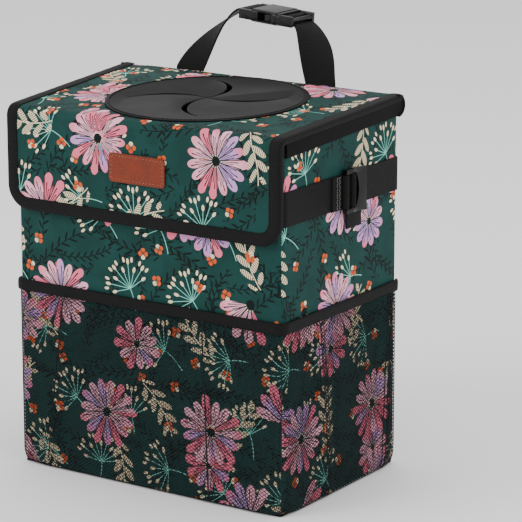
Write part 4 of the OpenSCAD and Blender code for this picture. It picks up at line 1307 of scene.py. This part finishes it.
class BIN_OT_inside(bpy.types.Operator):
    """Finish the base, rim, hinge cloth, skirts, linings, tapes, liner and boards"""

    bl_idname = "trash_bin.inside"
    bl_label = "Base, Rim and Inside"

    def execute(self, context):
        soft = context.scene.trash_bin_sewing.tape_soft
        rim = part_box("base_panel")[1]
        fit = Vector(((BODY_W / 2 + 0.3 * MM) / rim.x, (BODY_D / 2 + 0.3 * MM) / rim.y, 1))

        def base_shape(point):
            return Vector((*drawn_in(point * fit).xy, point.z))

        soft_copy("base_panel", "black cloth", "bin", "black_cloth", soft, reshape=base_shape)
        soft_copy("rim_binding", "binding tape", "bin", "binding", 0.25 * MM)
        below = [Vector((0, HINGE.y, HINGE.z - drop * MM)) for drop in (5, 0.4)]
        bend = ("bin", "lid", *below)
        soft_copy("lid_hinge_cloth", "printed cloth", None, "printed_cloth", 0.2 * MM, blend=bend)
        up = Vector((0, -math.sin(TILT), math.cos(TILT)))
        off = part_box("lid_skirt_right")[1].x - 0.5 * MM - LID_HALF

        def skirt_shape(point):
            return point + up * ((point.z - lid_top(point.y) + SKIRT_LOW) * SKIRT_TALLER)

        for side, node in ((0, "lid_skirt_left"), (1, "lid_skirt_right")):
            soft_copy(node, "black cloth", "lid", "black_cloth", soft, 3, reshape=skirt_shape)
            stations = []
            for i in range(19):
                a = math.radians(90 - 10 * i)
                s = ARCH_BACK * MM - ARCH_R * MM * math.cos(a)
                x = sheet_sides(s)[side] + off * (2 * side - 1)
                ahead = on_sheet(0, 5 * MM - math.sin(a) * MM, -math.cos(a) * MM)
                along = (ahead - on_sheet(0, 5 * MM, 0)).normalized()
                place = on_sheet(x, s, (ARCH_R * math.sin(a) - ARCH_LOW) * MM)
                stations.append((place, along, Vector((1, 0, 0))))
            size = (TAPE_W * MM, TAPE_T * MM)
            webbing(node + "_tape", stations, *size, "binding tape", (), "lid", "binding")
        for node, cloth, body, slot, bevel in (
            ("lid_lining", "lining cloth", "lid", "lining", 0.15),
            ("flap_lining", "lining cloth", "flap", "lining", 0.15),
            ("loop_tape", "hook and loop tape", "bin", "hook_and_loop", 0.25),
            ("hook_tape", "hook and loop tape", "flap", "hook_and_loop", 0.25),
        ):
            soft_copy(node, cloth, body, slot, bevel * MM)
        soft_copy("liner", "waterproof film", "bin", "liner", 0.15 * MM, reshape=drawn_in)
        for node in ("base_board", "front_board", "back_board", "left_board", "right_board"):
            soft_copy(node, "pressed board", "bin", "board", 0.15 * MM, reshape=drawn_in)
        for node in ("lid_board", "flap_board"):
            board = frame["nodes"][node].data
            board.materials.clear()
            board.materials.append(material("pressed board"))
        return {"FINISHED"}


class BIN_OT_stage(bpy.types.Operator):
    """Set up the pale floor, the soft lights and the camera"""

    bl_idname = "trash_bin.stage"
    bl_label = "Stage"

    def execute(self, context):
        studio = context.scene.trash_bin_studio
        bm = bmesh.new()
        bmesh.ops.create_grid(bm, x_segments=8, y_segments=8, size=9)
        bmesh.ops.translate(bm, verts=bm.verts, vec=(0, 0, -0.3 * MM))
        mesh = bpy.data.meshes.new("floor")
        bm.to_mesh(mesh)
        bm.free()
        mesh.materials.append(material("pale floor"))
        floor = bpy.data.objects.new("floor", mesh)
        context.scene.collection.objects.link(floor)
        world = bpy.data.worlds.new("even light")
        world.use_nodes = True
        sky = world.node_tree.nodes["Background"]
        sky.inputs["Color"].default_value = (1, 1, 1, 1)
        sky.inputs["Strength"].default_value = studio.sky
        context.scene.world = world
        aim = Vector((0, 0, 0.16))
        # Lights: name, place, size, power
        for name, place, size, power in (
            ("key light", (-1.3, -2.0, 1.7), 1.5, studio.key_power),
            ("fill light", (2.3, -0.3, 1.0), 1.4, studio.fill_power),
            ("top light", (0.0, 0.6, 2.2), 1.8, studio.top_power),
        ):
            light = bpy.data.lights.new(name, "AREA")
            light.size = size
            light.energy = power
            lamp = bpy.data.objects.new(name, light)
            lamp.location = place
            lamp.rotation_euler = (aim - Vector(place)).to_track_quat("-Z", "Y").to_euler()
            context.scene.collection.objects.link(lamp)
        view = bpy.data.cameras.new("camera")
        view.lens = studio.lens
        view.sensor_width = 36
        camera = bpy.data.objects.new("camera", view)
        camera.location = studio.camera_at
        camera.rotation_euler = (math.pi / 2 - studio.camera_dip, 0, studio.camera_turn)
        context.scene.collection.objects.link(camera)
        context.scene.camera = camera
        return {"FINISHED"}


STEPS = (
    BIN_OT_walls,
    BIN_OT_lid_sheet,
    BIN_OT_binding,
    BIN_OT_nets,
    BIN_OT_bands,
    BIN_OT_belt,
    BIN_OT_handle,
    BIN_OT_patch,
    BIN_OT_insert,
    BIN_OT_inside,
    BIN_OT_stage,
)


class BIN_PT_sewing(bpy.types.Panel):
    """Sidebar panel with the bin's sizes, colours and steps"""

    bl_idname = "BIN_PT_sewing"
    bl_label = "Car Trash Bin"
    bl_space_type = "VIEW_3D"
    bl_region_type = "UI"
    bl_category = "Trash Bin"

    def draw(self, context):
        scene = context.scene
        for group in (scene.trash_bin_sewing, scene.trash_bin_colours, scene.trash_bin_studio):
            box = self.layout.box()
            for field in group.__annotations__:
                box.prop(group, field)
        for step in STEPS:
            self.layout.operator(step.bl_idname)


CLASSES = (TrashBinSewing, TrashBinColours, TrashBinStudio, *STEPS, BIN_PT_sewing)


def register():
    for cls in CLASSES:
        bpy.utils.register_class(cls)
    bpy.types.Scene.trash_bin_sewing = PointerProperty(type=TrashBinSewing)
    bpy.types.Scene.trash_bin_colours = PointerProperty(type=TrashBinColours)
    bpy.types.Scene.trash_bin_studio = PointerProperty(type=TrashBinStudio)


def unregister():
    del bpy.types.Scene.trash_bin_studio
    del bpy.types.Scene.trash_bin_colours
    del bpy.types.Scene.trash_bin_sewing
    for cls in reversed(CLASSES):
        bpy.utils.unregister_class(cls)


def main():
    register()
    bpy.ops.trash_bin.walls()
    bpy.ops.trash_bin.lid_sheet()
    bpy.ops.trash_bin.binding()
    bpy.ops.trash_bin.nets()
    bpy.ops.trash_bin.bands()
    bpy.ops.trash_bin.belt()
    bpy.ops.trash_bin.handle()
    bpy.ops.trash_bin.patch()
    bpy.ops.trash_bin.insert()
    bpy.ops.trash_bin.inside()
    bpy.ops.trash_bin.stage()
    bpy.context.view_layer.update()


if __name__ == "__main__":
    main()
